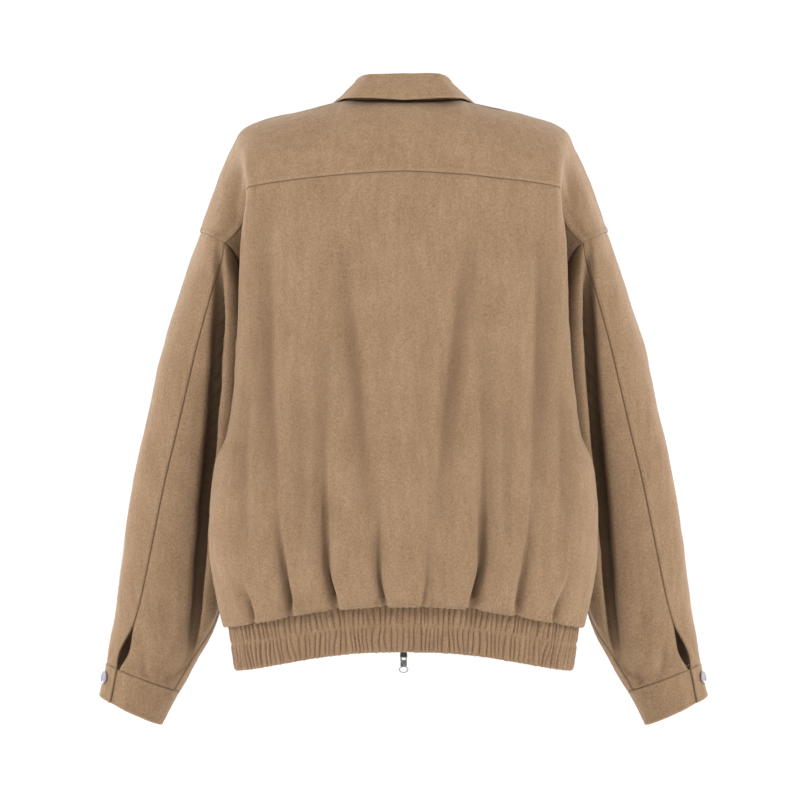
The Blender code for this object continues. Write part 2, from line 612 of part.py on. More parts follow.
band = Shell()
band_back = both_halves(band_grid(True, SHARES))
ends_gap = (0, 0, SEAM_GAP, SEAM_GAP)
band.add("waistband_back", "band", band_back, (0, 1, -0.63), ends_gap, BAND_THICKNESS)
band_front = from_opening(band_grid(False, SHARES))
for side, place in SIDES:
    outside = place(np.array([0.1, -1.0, -0.63]))
    gaps = (0, 0, 0, SEAM_GAP)
    band.add(f"waistband_front_{side}", "band", place(band_front), outside, gaps, BAND_THICKNESS)
band.build()


# ---------------------------------------------------------------- collar
def collar_half(angles):
    """Rows from the neck seam up the stand, over the roll and down the fall, at each angle."""
    knots = column(COLLAR, "angle")
    points = {name: through(knots, column(COLLAR, name), angles) for name in Collar._fields[1:]}
    roll = np.stack([points["roll_x"], points["roll_y"], points["roll_z"]], axis=1)
    edge = np.stack([points["edge_x"], points["edge_y"], points["edge_z"]], axis=1)
    rise = roll - neckline(angles)
    foot = neckline(angles) + rise / np.linalg.norm(rise, axis=1, keepdims=True) * COLLAR_CLEARANCE
    away = edge - roll
    away[:, 2] = 0
    away /= np.linalg.norm(away, axis=1, keepdims=True)
    up = np.array([0.0, 0.0, 1.0])

    def round_roll(across, down):
        return roll + (away * across - up * down) * ROLL_RADIUS

    inner, outer = round_roll(-1, 1), round_roll(1, 1)
    stand_middle = (foot + inner) / 2 - away * STAND_HOLLOW
    fall_middle = (outer + edge) / 2 + away * FALL_CROWN
    crest = [round_roll(-0.5, 0.25), round_roll(0.5, 0.25)]
    return np.array([foot, stand_middle, inner, *crest, outer, fall_middle, edge])


collar = both_halves(collar_half(np.linspace(0, COLLAR_END, 12)))
wall("collar", collar, collar + inwards_of(collar, (0, 0.2, 0.1)) * DOUBLE_CLOTH, suede)


# ---------------------------------------------------------------- zip
def zip_line():
    """The middle of the zip on the cloth's outer side, from the band's lower edge to the throat."""
    band_top = np.array([0.0, BODY[0].zip_y, BODY[0].zip_z - BAND_CLEARANCE])
    hem = band_top + np.array([0.0, BAND_LEAN * BODY[0].zip_y / -BODY[0].back_y, -BAND_HEIGHT])
    points = [hem, (hem + band_top) / 2]
    for level in np.arange(0, SHOULDER + 0.1, 0.5):
        make = shoulder_row if level > YOKE else body_row
        points.append(make(level, False, np.array([0.0, 0.5]))[0])
    return np.array(points)


def strip(path, low_x, high_x, low_depth, high_depth):
    """Outer and inner grids of a strip along the zip, between two depths behind the cloth's face."""
    along = np.gradient(path, axis=0)
    along /= np.linalg.norm(along, axis=1, keepdims=True)
    into = np.cross(np.array([1.0, 0.0, 0.0]), along)
    into *= np.sign(into[:, 1:2])
    sheets = []
    for depth in (low_depth, high_depth):
        middle = path + into * depth
        edges = [middle + np.array([x, 0.0, 0.0]) for x in (low_x, high_x)]
        sheets.append(np.stack(edges, axis=1))
    return sheets


path = zip_line()
along_zip = np.concatenate(([0.0], np.cumsum(np.linalg.norm(np.diff(path, axis=0), axis=1))))
ZIP_LENGTH = along_zip[-1]


def stretch(start, end):
    """The zip line's points between two distances from its lower end."""
    inside = along_zip[(along_zip > start + 0.001) & (along_zip < end - 0.001)]
    at = np.concatenate(([start], inside, [end]))
    return np.stack([np.interp(at, along_zip, path[:, k]) for k in range(3)], axis=1)


chain = stretch(CHAIN_START, ZIP_LENGTH - CHAIN_END)
wall("zip_chain", *strip(chain, -TEETH_HALF_WIDTH, TEETH_HALF_WIDTH, *TEETH_DEPTHS), gunmetal)
tape = stretch(TAPE_START, ZIP_LENGTH - TAPE_END)
tape_depths = (TAPE_DEPTH, TAPE_DEPTH + TAPE_THICKNESS)
for side, place in SIDES:
    outer, inner = strip(tape, TAPE_EDGE, TAPE_EDGE + TAPE_WIDTH, *tape_depths)
    wall(f"zip_tape_{side}", place(outer), place(inner), tape_cloth)


# ---------------------------------------------------------------- sliders and pulls
# Each is drawn lying against the YZ plane: x across, z up the zip, y = 0 on the face of the teeth
# and -y away from the wearer. Then it is leaned back to follow the zip.
TEETH_DEPTH = TEETH_DEPTHS[1] - TEETH_DEPTHS[0]
ARCH_FOOT = ARCH_WALL - ARCH_LENGTH / 2  # z of the lower end of the arch's opening
PIVOT_Y = -PLATE_GAP - PLATE_THICKNESS - BAR_DEPTH  # the middle of the bar under the arch
PIVOT_Z = ARCH_FOOT + BAR_CLEARANCE + BAR / 2
OVERLAP = 0.0005  # how far pieces that are joined run into each other


def block(name, low, high, bevel=0.0):
    """A box between two corners, its edges rounded."""
    low, high = Vector(low), Vector(high)
    solid = bmesh.new()
    bmesh.ops.create_cube(solid, size=1.0)
    for vert in solid.verts:
        vert.co = Vector((low[k] + high[k]) / 2 + vert.co[k] * (high[k] - low[k]) for k in range(3))
    if bevel:
        edges = list(solid.edges)
        bmesh.ops.bevel(solid, geom=edges, offset=bevel, segments=1, affect="EDGES", profile=0.5)
    mesh = bpy.data.meshes.new(name)
    solid.to_mesh(mesh)
    solid.free()
    obj = bpy.data.objects.new(name, mesh)
    bpy.context.scene.collection.objects.link(obj)
    return obj


def boolean(base, tool, operation):
    """The base joined with or cut by a tool, which is then removed."""
    change = base.modifiers.new(operation.lower(), "BOOLEAN")
    change.operation = operation
    change.object = tool
    depsgraph = bpy.context.evaluated_depsgraph_get()
    mesh = bpy.data.meshes.new_from_object(base.evaluated_get(depsgraph))
    base.modifiers.clear()
    base.data = mesh
    bpy.data.objects.remove(tool)


def leaned(obj, pivot, lean):
    """Turns the mesh back by an angle about X and puts its origin at the pivot."""
    obj.data.transform(Matrix.Translation(Vector((0.0, -PIVOT_Y, -PIVOT_Z))))
    obj.rotation_euler = (lean, 0.0, 0.0)
    obj.location = pivot


def slider(name, post_at, pivot, lean):
    """Two plates round the teeth, joined by a post beyond their end, and an arch for the pull."""
    half = PLATE_WIDTH / 2
    front, back = -PLATE_GAP, TEETH_DEPTH + PLATE_GAP
    low, high = -PLATE_LENGTH / 2, PLATE_LENGTH / 2
    top = front - PLATE_THICKNESS
    body = block(name, (-half, top, low), (half, front, high), METAL_BEVEL)
    rear = block("rear", (-half, back, low), (half, back + PLATE_THICKNESS, high), METAL_BEVEL)
    boolean(body, rear, "UNION")
    post_low = low if post_at < 0 else high - POST_LENGTH
    post_corner = (-POST_WIDTH / 2, front - OVERLAP, post_low + OVERLAP)
    post_far = (POST_WIDTH / 2, back + OVERLAP, post_low + POST_LENGTH - OVERLAP)
    boolean(body, block("post", post_corner, post_far), "UNION")
    wide, long = ARCH_WIDTH / 2, ARCH_LENGTH / 2
    crown = top - ARCH_HEIGHT
    arch = block("arch", (-wide, crown, -long), (wide, top + OVERLAP, long), METAL_BEVEL)
    hole = block("hole", (-ARCH_WIDTH, crown + ARCH_WALL, ARCH_FOOT), (ARCH_WIDTH, top, -ARCH_FOOT))
    boolean(arch, hole, "DIFFERENCE")
    boolean(body, arch, "UNION")
    leaned(body, pivot, lean)
    return finish(body, nickel)


def pull(name, pivot, lean):
    """A tab with a window, whose upper bar runs under the slider's arch, and a ring at its foot."""
    near, far = PIVOT_Y - BAR / 2, PIVOT_Y + BAR / 2
    high = PIVOT_Z + BAR / 2
    low = high - PULL_LENGTH
    half = PULL_WIDTH / 2
    tab = block(name, (-half, near, low), (half, far, high), METAL_BEVEL / 2)
    half, window_high = WINDOW_WIDTH / 2, high - BAR
    window_low = window_high - WINDOW_LENGTH
    window = block("window", (-half, near - BAR, window_low), (half, far + BAR, window_high))
    boolean(tab, window, "DIFFERENCE")
    wire = RING_WIRE / 2
    bpy.ops.mesh.primitive_torus_add(
        major_segments=20, minor_segments=6, major_radius=RING_WIDTH / 2 - wire, minor_radius=wire
    )
    ring = bpy.context.object
    squeeze = (RING_HEIGHT / 2 - wire) / (RING_WIDTH / 2 - wire)
    centre = Vector((0.0, PIVOT_Y, low - RING_HEIGHT / 2 + RING_WIRE * 0.8))
    turned = Matrix.Rotation(math.pi / 2, 4, "X")
    ring.data.transform(Matrix.Translation(centre) @ Matrix.Diagonal((1, 1, squeeze, 1)) @ turned)
    boolean(tab, ring, "UNION")
    leaned(tab, pivot, lean)
    return finish(tab, nickel)


def on_zip(distance):
    """A place on the face of the teeth and the zip's lean there, at a distance from its lower end."""
    start = max(distance - PLATE_LENGTH / 2, 0.0)
    below, above = stretch(start, start + PLATE_LENGTH)[[0, -1]]
    along = (above - below) / np.linalg.norm(above - below)
    into = np.array([0.0, along[2], -along[1]])
    here = below + along * (distance - start)
    return here + into * TEETH_DEPTHS[0], math.atan2(-along[1], along[2])


SLIDERS = (("lower", LOWER_SLIDER_AT, -1), ("upper", ZIP_LENGTH - UPPER_SLIDER_AT, 1))
for name, distance, post_at in SLIDERS:
    face, lean = on_zip(distance)
    pivot = Vector(face) + Matrix.Rotation(lean, 3, "X") @ Vector((0.0, PIVOT_Y, PIVOT_Z))
    slider(f"slider_{name}", post_at, pivot, lean)
    pull(f"pull_{name}", pivot, 0.0 if name == "lower" else lean)


# ---------------------------------------------------------------- snap caps
def snap_cap(name, place):
    """A low domed cap near the outer end of the cuff's lap."""
    angle, ring = SNAP_ANGLE, CUFF_SEAM + SNAP_ALONG
    here = tube(angle, ring)
    across = tube(angle + 2, ring) - tube(angle - 2, ring)
    down = tube(angle, ring + 0.05) - tube(angle, ring - 0.05)
    outwards = np.cross(across, down)
    outwards /= np.linalg.norm(outwards)
    if outwards[0] < 0:
        outwards = -outwards
    half = [
        (0.0, SNAP_HEIGHT),
        (SNAP_RADIUS * 0.55, SNAP_HEIGHT * 0.93),
        (SNAP_RADIUS * 0.88, SNAP_HEIGHT * 0.62),
        (SNAP_RADIUS, SNAP_HEIGHT * 0.2),
        (SNAP_RADIUS, 0.0),
        (0.0, 0.0),
    ]
    mesh = bpy.data.meshes.new(name)
    mesh.from_pydata([(x, 0.0, z) for x, z in half], [(k, k + 1) for k in range(len(half) - 1)], [])
    obj = bpy.data.objects.new(name, mesh)
    bpy.context.scene.collection.objects.link(obj)
    turned = obj.modifiers.new("turned", "SCREW")
    turned.angle = math.tau
    turned.steps = turned.render_steps = 20
    turned.use_merge_vertices = True
    turned.merge_threshold = 0.00002
    outwards, here = Vector(place(outwards)), Vector(place(here))
    obj.rotation_euler = outwards.to_track_quat("Z", "Y").to_euler()
    obj.location = here + outwards * SNAP_CLEARANCE
    return finish(obj, nickel)


for side, place in SIDES:
    snap_cap(f"snap_{side}", place)
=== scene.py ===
import json
import math
from collections import namedtuple
from functools import partial

import bpy
import numpy as np
from mathutils import Matrix, Vector


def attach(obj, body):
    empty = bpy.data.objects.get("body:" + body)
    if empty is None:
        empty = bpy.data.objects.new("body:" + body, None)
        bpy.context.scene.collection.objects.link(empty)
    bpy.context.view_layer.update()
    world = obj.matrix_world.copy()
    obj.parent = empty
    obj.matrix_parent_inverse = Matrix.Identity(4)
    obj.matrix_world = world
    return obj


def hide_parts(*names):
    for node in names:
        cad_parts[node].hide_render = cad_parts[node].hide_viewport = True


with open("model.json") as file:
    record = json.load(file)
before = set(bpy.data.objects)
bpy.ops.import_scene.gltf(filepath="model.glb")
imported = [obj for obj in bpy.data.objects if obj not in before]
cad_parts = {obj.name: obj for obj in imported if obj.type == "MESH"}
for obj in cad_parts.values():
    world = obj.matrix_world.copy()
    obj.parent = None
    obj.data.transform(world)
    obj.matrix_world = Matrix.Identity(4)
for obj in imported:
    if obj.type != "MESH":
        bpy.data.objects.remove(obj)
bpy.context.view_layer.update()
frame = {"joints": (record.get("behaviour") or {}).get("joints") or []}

scene = bpy.context.scene

# ------------------------------------------------------------------ camera, floor and light
# The jacket is looked at from behind, level with the middle of its back. It keeps its place in
# the air as if it were worn, over a plain pale floor, in the soft light of a white studio.
PICTURE_WIDTH = 0.944  # across the picture, at the jacket
CAMERA_PLACE = (0.0044, 4.0, -0.354)
SENSOR_MM = 36.0
FLOOR_HEIGHT, FLOOR_SIZE = -1.30, 40.0
WALL_WHITE, ROOM_WHITE, CEILING_WHITE = 1.04, 0.20, 4.3  # brightness of the white room
LIGHT_SIZE = 1.1
LIGHTS = (  # name, place, what it is aimed at, watts; each has a twin on the other side
    ("softbox", (3.0, 2.2, 1.2), (0.0, 0.0, -0.35), 184.0),
    ("low_softbox", (3.4, 0.6, -0.7), (0.2, 0.0, -0.5), 34.0),
    ("front_softbox", (2.6, -2.7, 1.0), (0.0, 0.0, -0.35), 170.0),
)


def fill(node, inputs):
    """Sets a node's inputs, named or numbered. A socket is linked, anything else is a value."""
    for key, value in inputs.items():
        if isinstance(value, bpy.types.NodeSocket):
            node.id_data.links.new(value, node.inputs[key])
        else:
            node.inputs[key].default_value = value
    return node


def add(tree, kind, inputs=None, **settings):
    node = tree.nodes.new(kind)
    for name, value in settings.items():
        setattr(node, name, value)
    return fill(node, inputs or {})


def maths(tree, operation, *values):
    return add(tree, "ShaderNodeMath", dict(enumerate(values)), operation=operation).outputs[0]


def fade(tree, value, low, high, start, end, **settings):
    inputs = {"Value": value, "From Min": low, "From Max": high, "To Min": start, "To Max": end}
    return add(tree, "ShaderNodeMapRange", inputs, **settings).outputs["Result"]


def noise(tree, where, scale, detail):
    inputs = {"Vector": where, "Scale": scale, "Detail": detail}
    return add(tree, "ShaderNodeTexNoise", inputs).outputs["Fac"]


def tones(tree, value, dark, light, low=0.0, high=1.0):
    """A colour from dark to light as the value goes from low to high."""
    ramp = add(tree, "ShaderNodeValToRGB", {"Fac": value})
    for stop, at, colour in zip(ramp.color_ramp.elements, (low, high), (dark, light)):
        stop.position, stop.color = at, (*colour, 1.0)
    return ramp.outputs["Color"]


def bump(tree, strength, distance, height):
    inputs = {"Strength": strength, "Distance": distance, "Height": height}
    return add(tree, "ShaderNodeBump", inputs).outputs["Normal"]


def new_material(name, place="Object"):
    """A new material, its tree, its shader and its coordinates."""
    material = bpy.data.materials.new(name)
    material.use_nodes = True
    tree = material.node_tree
    place = add(tree, "ShaderNodeTexCoord").outputs[place]
    return material, tree, tree.nodes["Principled BSDF"], place


def new_object(name, data):
    obj = bpy.data.objects.new(name, data)
    scene.collection.objects.link(obj)
    return obj


camera = new_object("camera", bpy.data.cameras.new("camera"))
camera.data.sensor_width = SENSOR_MM
camera.data.lens = SENSOR_MM * CAMERA_PLACE[1] / PICTURE_WIDTH
camera.location = CAMERA_PLACE
camera.rotation_euler = (math.pi / 2, 0.0, math.pi)
scene.camera = camera
scene.view_settings.view_transform = "Standard"

scene.world = bpy.data.worlds.new("white_studio")
scene.world.use_nodes = True
room = scene.world.node_tree
height = add(room, "ShaderNodeTexCoord").outputs["Generated"]
height = add(room, "ShaderNodeSeparateXYZ", {0: height})
height = height.outputs["Z"]
level = maths(room, "ABSOLUTE", height)
wall = fade(room, level, 0.20, 0.32, WALL_WHITE, ROOM_WHITE, interpolation_type="SMOOTHSTEP")
ceiling = fade(room, height, 0.86, 0.94, 0.0, CEILING_WHITE, interpolation_type="SMOOTHSTEP")
white = {"Color": (1.0, 1.0, 1.0, 1.0), "Strength": maths(room, "ADD", wall, ceiling)}
fill(room.nodes["Background"], white)

for name, place, aim, watts in LIGHTS:
    for side, way in (("left", Vector((1, 1, 1))), ("right", Vector((-1, 1, 1)))):
        light = new_object(f"{name}_{side}", bpy.data.lights.new(f"{name}_{side}", "AREA"))
        light.data.size, light.data.energy = LIGHT_SIZE, watts
        light.location = Vector(place) * way
        aimed = (Vector(place) - Vector(aim)) * way
        light.rotation_euler = aimed.to_track_quat("Z", "Y").to_euler()
        light.visible_camera = False

bpy.ops.mesh.primitive_grid_add(x_subdivisions=8, y_subdivisions=8, size=FLOOR_SIZE)
floor = bpy.context.object
floor.name = "floor"
floor.location.z = FLOOR_HEIGHT
pale, tree, shader, place = new_material("pale_floor")
cloudy = tones(tree, noise(tree, place, 0.8, 3.0), (0.94, 0.94, 0.94), (0.97, 0.97, 0.97))
fill(shader, {"Base Color": cloudy, "Roughness": 0.9})
floor.data.materials.append(pale)

# ------------------------------------------------------------------ back panel and back yoke
# The back is one wide panel of bonded faux suede under a deep yoke that runs over the shoulders.
# The yoke's edge is turned in and topstitched down over the panel. The panel is cut far wider
# than the waistband: its fullness is laid in tucks at the hem and blouses over the band.
CLOTH = 0.0014  # one layer of suede
YOKE_STEP = 0.0007  # the yoke's turned edge stands that much proud, and the panel sinks as much


def in_mm(kind, rows, plain=()):
    """The rows of a table written in millimetres, apart from the columns that plain names."""
    rows = [zip(kind._fields, row) for row in rows]
    return [kind(*(v if name in plain else v / 1000 for name, v in row)) for row in rows]


Ring = namedtuple(
    "Ring", "z_back z_side z_front width side_y back_y front_y seam_x seam_y dip zip_y zip_z"
)
BODY = in_mm(Ring, (  # sections of the body from the waistband seam to the yoke seam
    (-585, -612.5, -599, 206.5, 12, 116, -112, 204.5, -4, 0, -118, -600.5),
    (-591, -620.5, -606, 211, 12, 124.5, -120, 208.5, -4, 0, -119, -597.5),
    (-584, -608.5, -597, 215, 14, 135, -129, 212, -6, 0, -120.5, -592.5),
    (-558, -569, -561, 222.5, 20, 143, -137, 206, -12, 1, -127, -565),
    (-518, -522, -520, 227.5, 30, 145, -139, 198, -14, 2, -133, -520),
    (-478, -480, -479, 226.2, 34, 143, -138, 188, -16, 3, -135.5, -479),
    (-428, -433, -431, 221.5, 38, 140, -137, 174, -24, 4, -136.2, -431),
    (-380, -393, -385, 207, 42, 137.5, -136, 0, 0, 6, -136, -385),
    (-300, -317, -303, 197.4, 46, 135, -134.5, 0, 0, 7, -134.5, -303),
    (-228, -250, -233, 193, 52, 133, -130, 0, 0, 8, -130, -233),
    (-156, -175, -168, 189.3, 62, 130, -120, 0, 0, 9, -120, -168),
    (-91.9, -108, -115, 180.9, 76, 122, -103, 0, 0, 4, -103, -115),
))
UNDERARM, YOKE, SHOULDER = 7, 11, 12  # levels: rows of BODY, and the shoulder ridge above them
BACK_FLATNESS, FRONT_FLATNESS = 2.35, 2.15  # exponents of the superellipses that a ring follows
LEVEL_SHARE, LEVEL_ROUNDING = 0.36, 0.2  # the hem is level in the middle, then sinks to the side
YOKE_ARCH = 1.5  # the yoke seam is an even arch
TAPE_WIDTH, ZIP_STIFFNESS = 0.0075, 0.055
NECK_WIDTH, NECK_Y, NECK_Z = 0.068, 0.000, -0.001
NAPE_Y, NAPE_Z, THROAT_Y, THROAT_Z = 0.060, -0.006, -0.076, -0.054
Ridge = namedtuple("Ridge", "x y z")
RIDGE = in_mm(Ridge, (  # from the neck over the shoulder to the end of the dropped shoulder
    (68, 0, -1), (100, -6, -8), (159, -11, -21), (181.5, -14, -29),
    (192, -15, -37), (204.2, -16, -60), (224.5, -18, -106), (240.5, -20, -155.6),
))
NECK_SHARE, SHOULDER_SHARE = 0.34, 0.55
ARCH, THROAT_ARCH, THROAT_REACH = 0.88, 0.35, 0.1
Tube = namedtuple("Tube", "outer_x outer_z inner_x inner_z y depth crease_x crease seam under")
SLEEVE = in_mm(Tube, (  # sections of the sleeve from the shoulder to the cuff's end
    (240.5, -155.6, 188, -180, -20, 72, 214, 2, 103, 188),
    (266, -226.2, 178, -260.4, -32, 66, 215.5, 14, 82, 188),
    (289, -299.5, 177, -330, -40, 61, 219.5, 19, 75, 188),
    (305.5, -372.9, 185, -400, -50, 58, 225.5, 21, 71, 188),
    (323, -446.7, 199, -471.3, -62, 55, 233.5, 21, 69, 188),
    (335.5, -521.1, 209.5, -543.3, -75, 52, 240.5, 19, 65, 184),
    (345.5, -596, 222.4, -613.4, -87, 48, 248, 14, 59, 167),
    (354, -640, 249.1, -668.7, -96, 42, 259, 5, 55, 152),
    (359.3, -671.2, 269.7, -705.1, -100, 36, 290, 0, 50, 149),
    (368.5, -712, 293.2, -747.5, -105, 33, 310, 0, 55, 149),
), plain=("seam", "under"))
CREASE_OUTSIDE, CREASE_INSIDE = 0.0054, 0.0046
ARMHOLE = (  # level; angle and ring on the sleeve, behind and in front
    (7.0, 188, 3.05, -172, 3.05), (8.0, 178, 2.00, -155, 1.95), (9.0, 168, 1.10, -138, 1.05),
    (10.0, 152, 0.38, -119, 0.42), (11.0, 103, 0.00, -96, 0.08), (11.5, 55, 0.00, -48, 0.00),
    (12.0, 0, 0.00, 0, 0.00),
)
# Creases, the same on both sides: foot, middle and head; half widths away from the centre and
# towards it; depth; how far the inner lip laps over the trough; whether the crease is deepest at
# its foot (a tuck) or in its middle (a drape fold); and how deep it is on the right, as a share.
Crease = namedtuple(
    "Crease",
    "foot_x foot_z mid_x mid_z head_x head_z outer inner depth lap tuck right",
    defaults=(1.0,),
)
creases_in_mm = partial(in_mm, Crease, plain=("tuck", "right"))
BACK_CREASES = creases_in_mm((
    (172.5, -612, 179, -590, 192, -550, 9, 2.2, 10, 1.4, True, 0.85),
    (127.5, -606, 136.5, -552, 152, -430, 12, 2.6, 12.5, 1.6, True, 0.8),
    (73.8, -600, 87, -535, 90, -370, 14, 2.8, 14.5, 2, True, 1.1),
    (18.8, -599, 27, -545, 29, -430, 11, 2.6, 11, 1.6, True, 0.45),
    (31.6, -598, 32.2, -588, 33, -572, 3, 2, 5, 0.6, True),
    (144, -540, 157, -300, 159, -95, 19, 12, 7.5, 0, False),
    (96, -590, 93, -410, 86, -200, 15, 11, 5, 0, False),
    (33, -550, 54, -330, 80, -115, 14, 12, 7.5, 0, False, 1.15),
    (118, -580, 117, -430, 124, -260, 12, 10, 4, 0, False),
    (180, -570, 185, -430, 178, -280, 13, 10, 5, 0, False),
    (6, -490, 20, -330, 33, -200, 12, 12, 2, 0, False),
    (199, -145, 196, -105, 190, -64, 9, 7, 4.5, 0, False),
))
HEM_DEPTH = 0.18  # share of a tuck's depth that is left where it is caught in the hem's seam
SHARP = 0.38  # the bottom of a tuck is a narrow line, that much of its outer flank
TUCK_PILLOW = 0.022  # beside a tuck the cloth also sinks softly, so that it pillows in between
UNDULATION = 0.0007  # the slight waviness of cloth that hangs free
HEM_PUCKER, PUCKER_LENGTH = 0.0006, 0.0085
YOKE_STITCH, ARMHOLE_STITCH = 0.0065, 0.0055  # from each seam to its topstitching
CREASE_SHADE_TONE, SEAM_SHADE_TONE = 0.66, 0.85  # painted shade: how much darker a crease and a seam are coloured


def through(knots, values, at):
    """A curve through the knots that never overshoots them (monotone cubic Hermite)."""
    knots, values, at = (np.asarray(a, float) for a in (knots, values, at))
    step = np.diff(knots)
    rise = np.diff(values) / step
    slope = np.zeros_like(values)
    slope[0], slope[-1] = rise[0], rise[-1]
    same = np.flatnonzero(rise[:-1] * rise[1:] > 0)
    slope[same + 1] = 2 / (1 / rise[same] + 1 / rise[same + 1])
    at = np.clip(at, knots[0], knots[-1])
    i = np.clip(np.searchsorted(knots, at, side="right") - 1, 0, len(step) - 1)
    t = (at - knots[i]) / step[i]
    left = values[i] * (1 + 2 * t) * (1 - t) ** 2 + slope[i] * step[i] * t * (1 - t) ** 2
    return left + values[i + 1] * t * t * (3 - 2 * t) + slope[i + 1] * step[i] * t * t * (t - 1)


def row_at(table, at):
    """A row of the table between its rows, at a fractional index."""
    knots = np.arange(len(table))
    return type(table[0])(*(through(knots, values, at) for values in zip(*table)))


def smooth(t):
    t = np.clip(t, 0.0, 1.0)
    return t * t * (3 - 2 * t)


def unit(vectors):
    return vectors / np.maximum(np.linalg.norm(vectors, axis=-1, keepdims=True), 1e-12)


def lengths(points):
    """Distances along the first axis from its start."""
    steps = np.linalg.norm(np.diff(points, axis=0), axis=-1)
    return np.concatenate([np.zeros_like(steps[:1]), np.cumsum(steps, axis=0)])


def at_distance(line, distance):
    """Points of a polyline at distances from its start."""
    along = lengths(line)
    return np.stack([np.interp(distance, along, line[:, k]) for k in range(3)], axis=-1)


def spaced(line, shares):
    """Points at the given shares of a polyline's length."""
    return at_distance(line, np.asarray(shares) * lengths(line)[-1])


def crowded(count, start, end):
    """Shares from 0 to 1 that lie closer together at the ends, by the given factors."""
    t = np.linspace(0, 1, 4000)
    step = 1 - (1 - start) * np.exp(-t / 0.04) - (1 - end) * np.exp(-(1 - t) / 0.04)
    along = np.concatenate([[0.0], np.cumsum(2 / (step[1:] + step[:-1]))])
    return np.interp(np.linspace(0, along[-1], count), along, t)


def sleeve_x(row, turn):
    return (row.outer_x + row.inner_x) / 2 + (row.outer_x - row.inner_x) / 2 * np.cos(turn)


def trough(row, turn, outside, inside):
    """How near each point is to the bottom of the sleeve's long fold, from 0 to 1."""
    away = sleeve_x(row, turn) - row.crease_x
    reach = np.where(away > 0, outside, inside)
    return np.exp(-((away / reach) ** 2)) * smooth(np.sin(turn) * 4)


def tube(angle, ring):
    """A point of the sleeve tube at an angle in degrees and a fractional ring."""
    row, turn = row_at(SLEEVE, ring), np.radians(angle)
    fold = row.crease * trough(row, turn, CREASE_OUTSIDE, CREASE_INSIDE)
    z = (row.outer_z + row.inner_z) / 2 + (row.outer_z - row.inner_z) / 2 * np.cos(turn)
    return np.stack([sleeve_x(row, turn), row.y + row.depth * np.sin(turn) - fold, z], axis=-1)


def armhole(level, behind):
    """(angle, ring) on the sleeve tube of the armhole seam at a level."""
    levels, *places = zip(*ARMHOLE)
    angles, rings = places[:2] if behind else places[2:]
    return through(levels, angles, level), through(levels, rings, level)


def slope(across, level):
    """How far a row has sunk at a share of the half width: the hem is level in the middle."""
    level_part = LEVEL_SHARE * (1 - smooth((level - 2) / 3))

    def sunk(share):
        return share - level_part + np.hypot(share - level_part, LEVEL_ROUNDING)

    high = smooth((level - 5) / 4)
    return (1 - high) * (sunk(across) - sunk(0)) / (sunk(1) - sunk(0)) + high * across**YOKE_ARCH


def body_row(level, behind, shares):
    """A row of the body from its centre line to the side seam or the armhole, at one level."""
    ring = row_at(BODY, min(level, YOKE))
    centre_z, centre_y = (ring.z_back, ring.back_y) if behind else (ring.z_front, ring.front_y)
    if level >= UNDERARM:
        seam = tube(*armhole(level, behind))
    else:
        free = row_at(BODY[:UNDERARM], level)
        seam = np.array([free.seam_x, free.seam_y, ring.z_side])
        joining = np.clip(level - UNDERARM + 1, 0, 1) ** 3
        seam = seam + (tube(*armhole(UNDERARM, behind)) - seam) * joining
    turn = np.linspace(0, math.pi / 2, 300)
    power = 2 / (BACK_FLATNESS if behind else FRONT_FLATNESS)
    sine, cosine = np.sin(turn) ** power, np.cos(turn) ** power
    if not behind:
        x = seam[0] * sine
        y = seam[1] + (centre_y - seam[1]) * cosine
        z = centre_z + (seam[2] - centre_z) * smooth(x / seam[0])
        held = 1 - smooth((x - TAPE_WIDTH) / ZIP_STIFFNESS)
        y += (ring.zip_y - centre_y) * held
        z += (ring.zip_z - centre_z) * held
        return spaced(np.stack([x, y, z], axis=1), shares)
    x = ring.width * sine
    y = ring.side_y + (centre_y - ring.side_y) * cosine
    z = centre_z + (ring.z_side - centre_z) * slope(x / ring.width, level)
    edge = np.array([ring.width, ring.side_y, ring.z_side])
    reach = np.linalg.norm(seam - edge)
    above = smooth((level - UNDERARM) / (YOKE - UNDERARM))
    start_pull = np.array([0.0, -1.0, -0.4 * above]) * reach
    under_arm = smooth(1 - abs(level - UNDERARM - 0.6) / 1.6)
    end_pull = np.array([0.9 * above + 0.6 * under_arm, above - 1.0, -0.6 * above]) * reach
    t = np.linspace(0, 1, 120)[:, None]
    ease = smooth(t)
    tail = edge * (1 - ease) + seam * ease
    tail = tail + start_pull * t * (1 - t) ** 2 + end_pull * t * t * (t - 1)
    tail[:, 0] -= ring.dip * np.sin(math.pi * t[:, 0]) ** 2
    return spaced(np.concatenate([np.stack([x, y, z], axis=1), tail[1:]]), shares)


def neckline(angle):
    """The neck seam at an angle from the nape (0) by the shoulder (90) to the throat (180)."""
    turn = np.radians(angle)
    ahead, behind = np.clip(-np.cos(turn), 0, 1), np.clip(np.cos(turn), 0, 1)
    y = NECK_Y + (NAPE_Y - NECK_Y) * behind + (THROAT_Y - NECK_Y) * ahead
    z = NECK_Z + (NAPE_Z - NECK_Z) * behind + (THROAT_Z - NECK_Z) * ahead**1.3
    return np.stack([NECK_WIDTH * np.sin(turn), y, z], axis=-1)


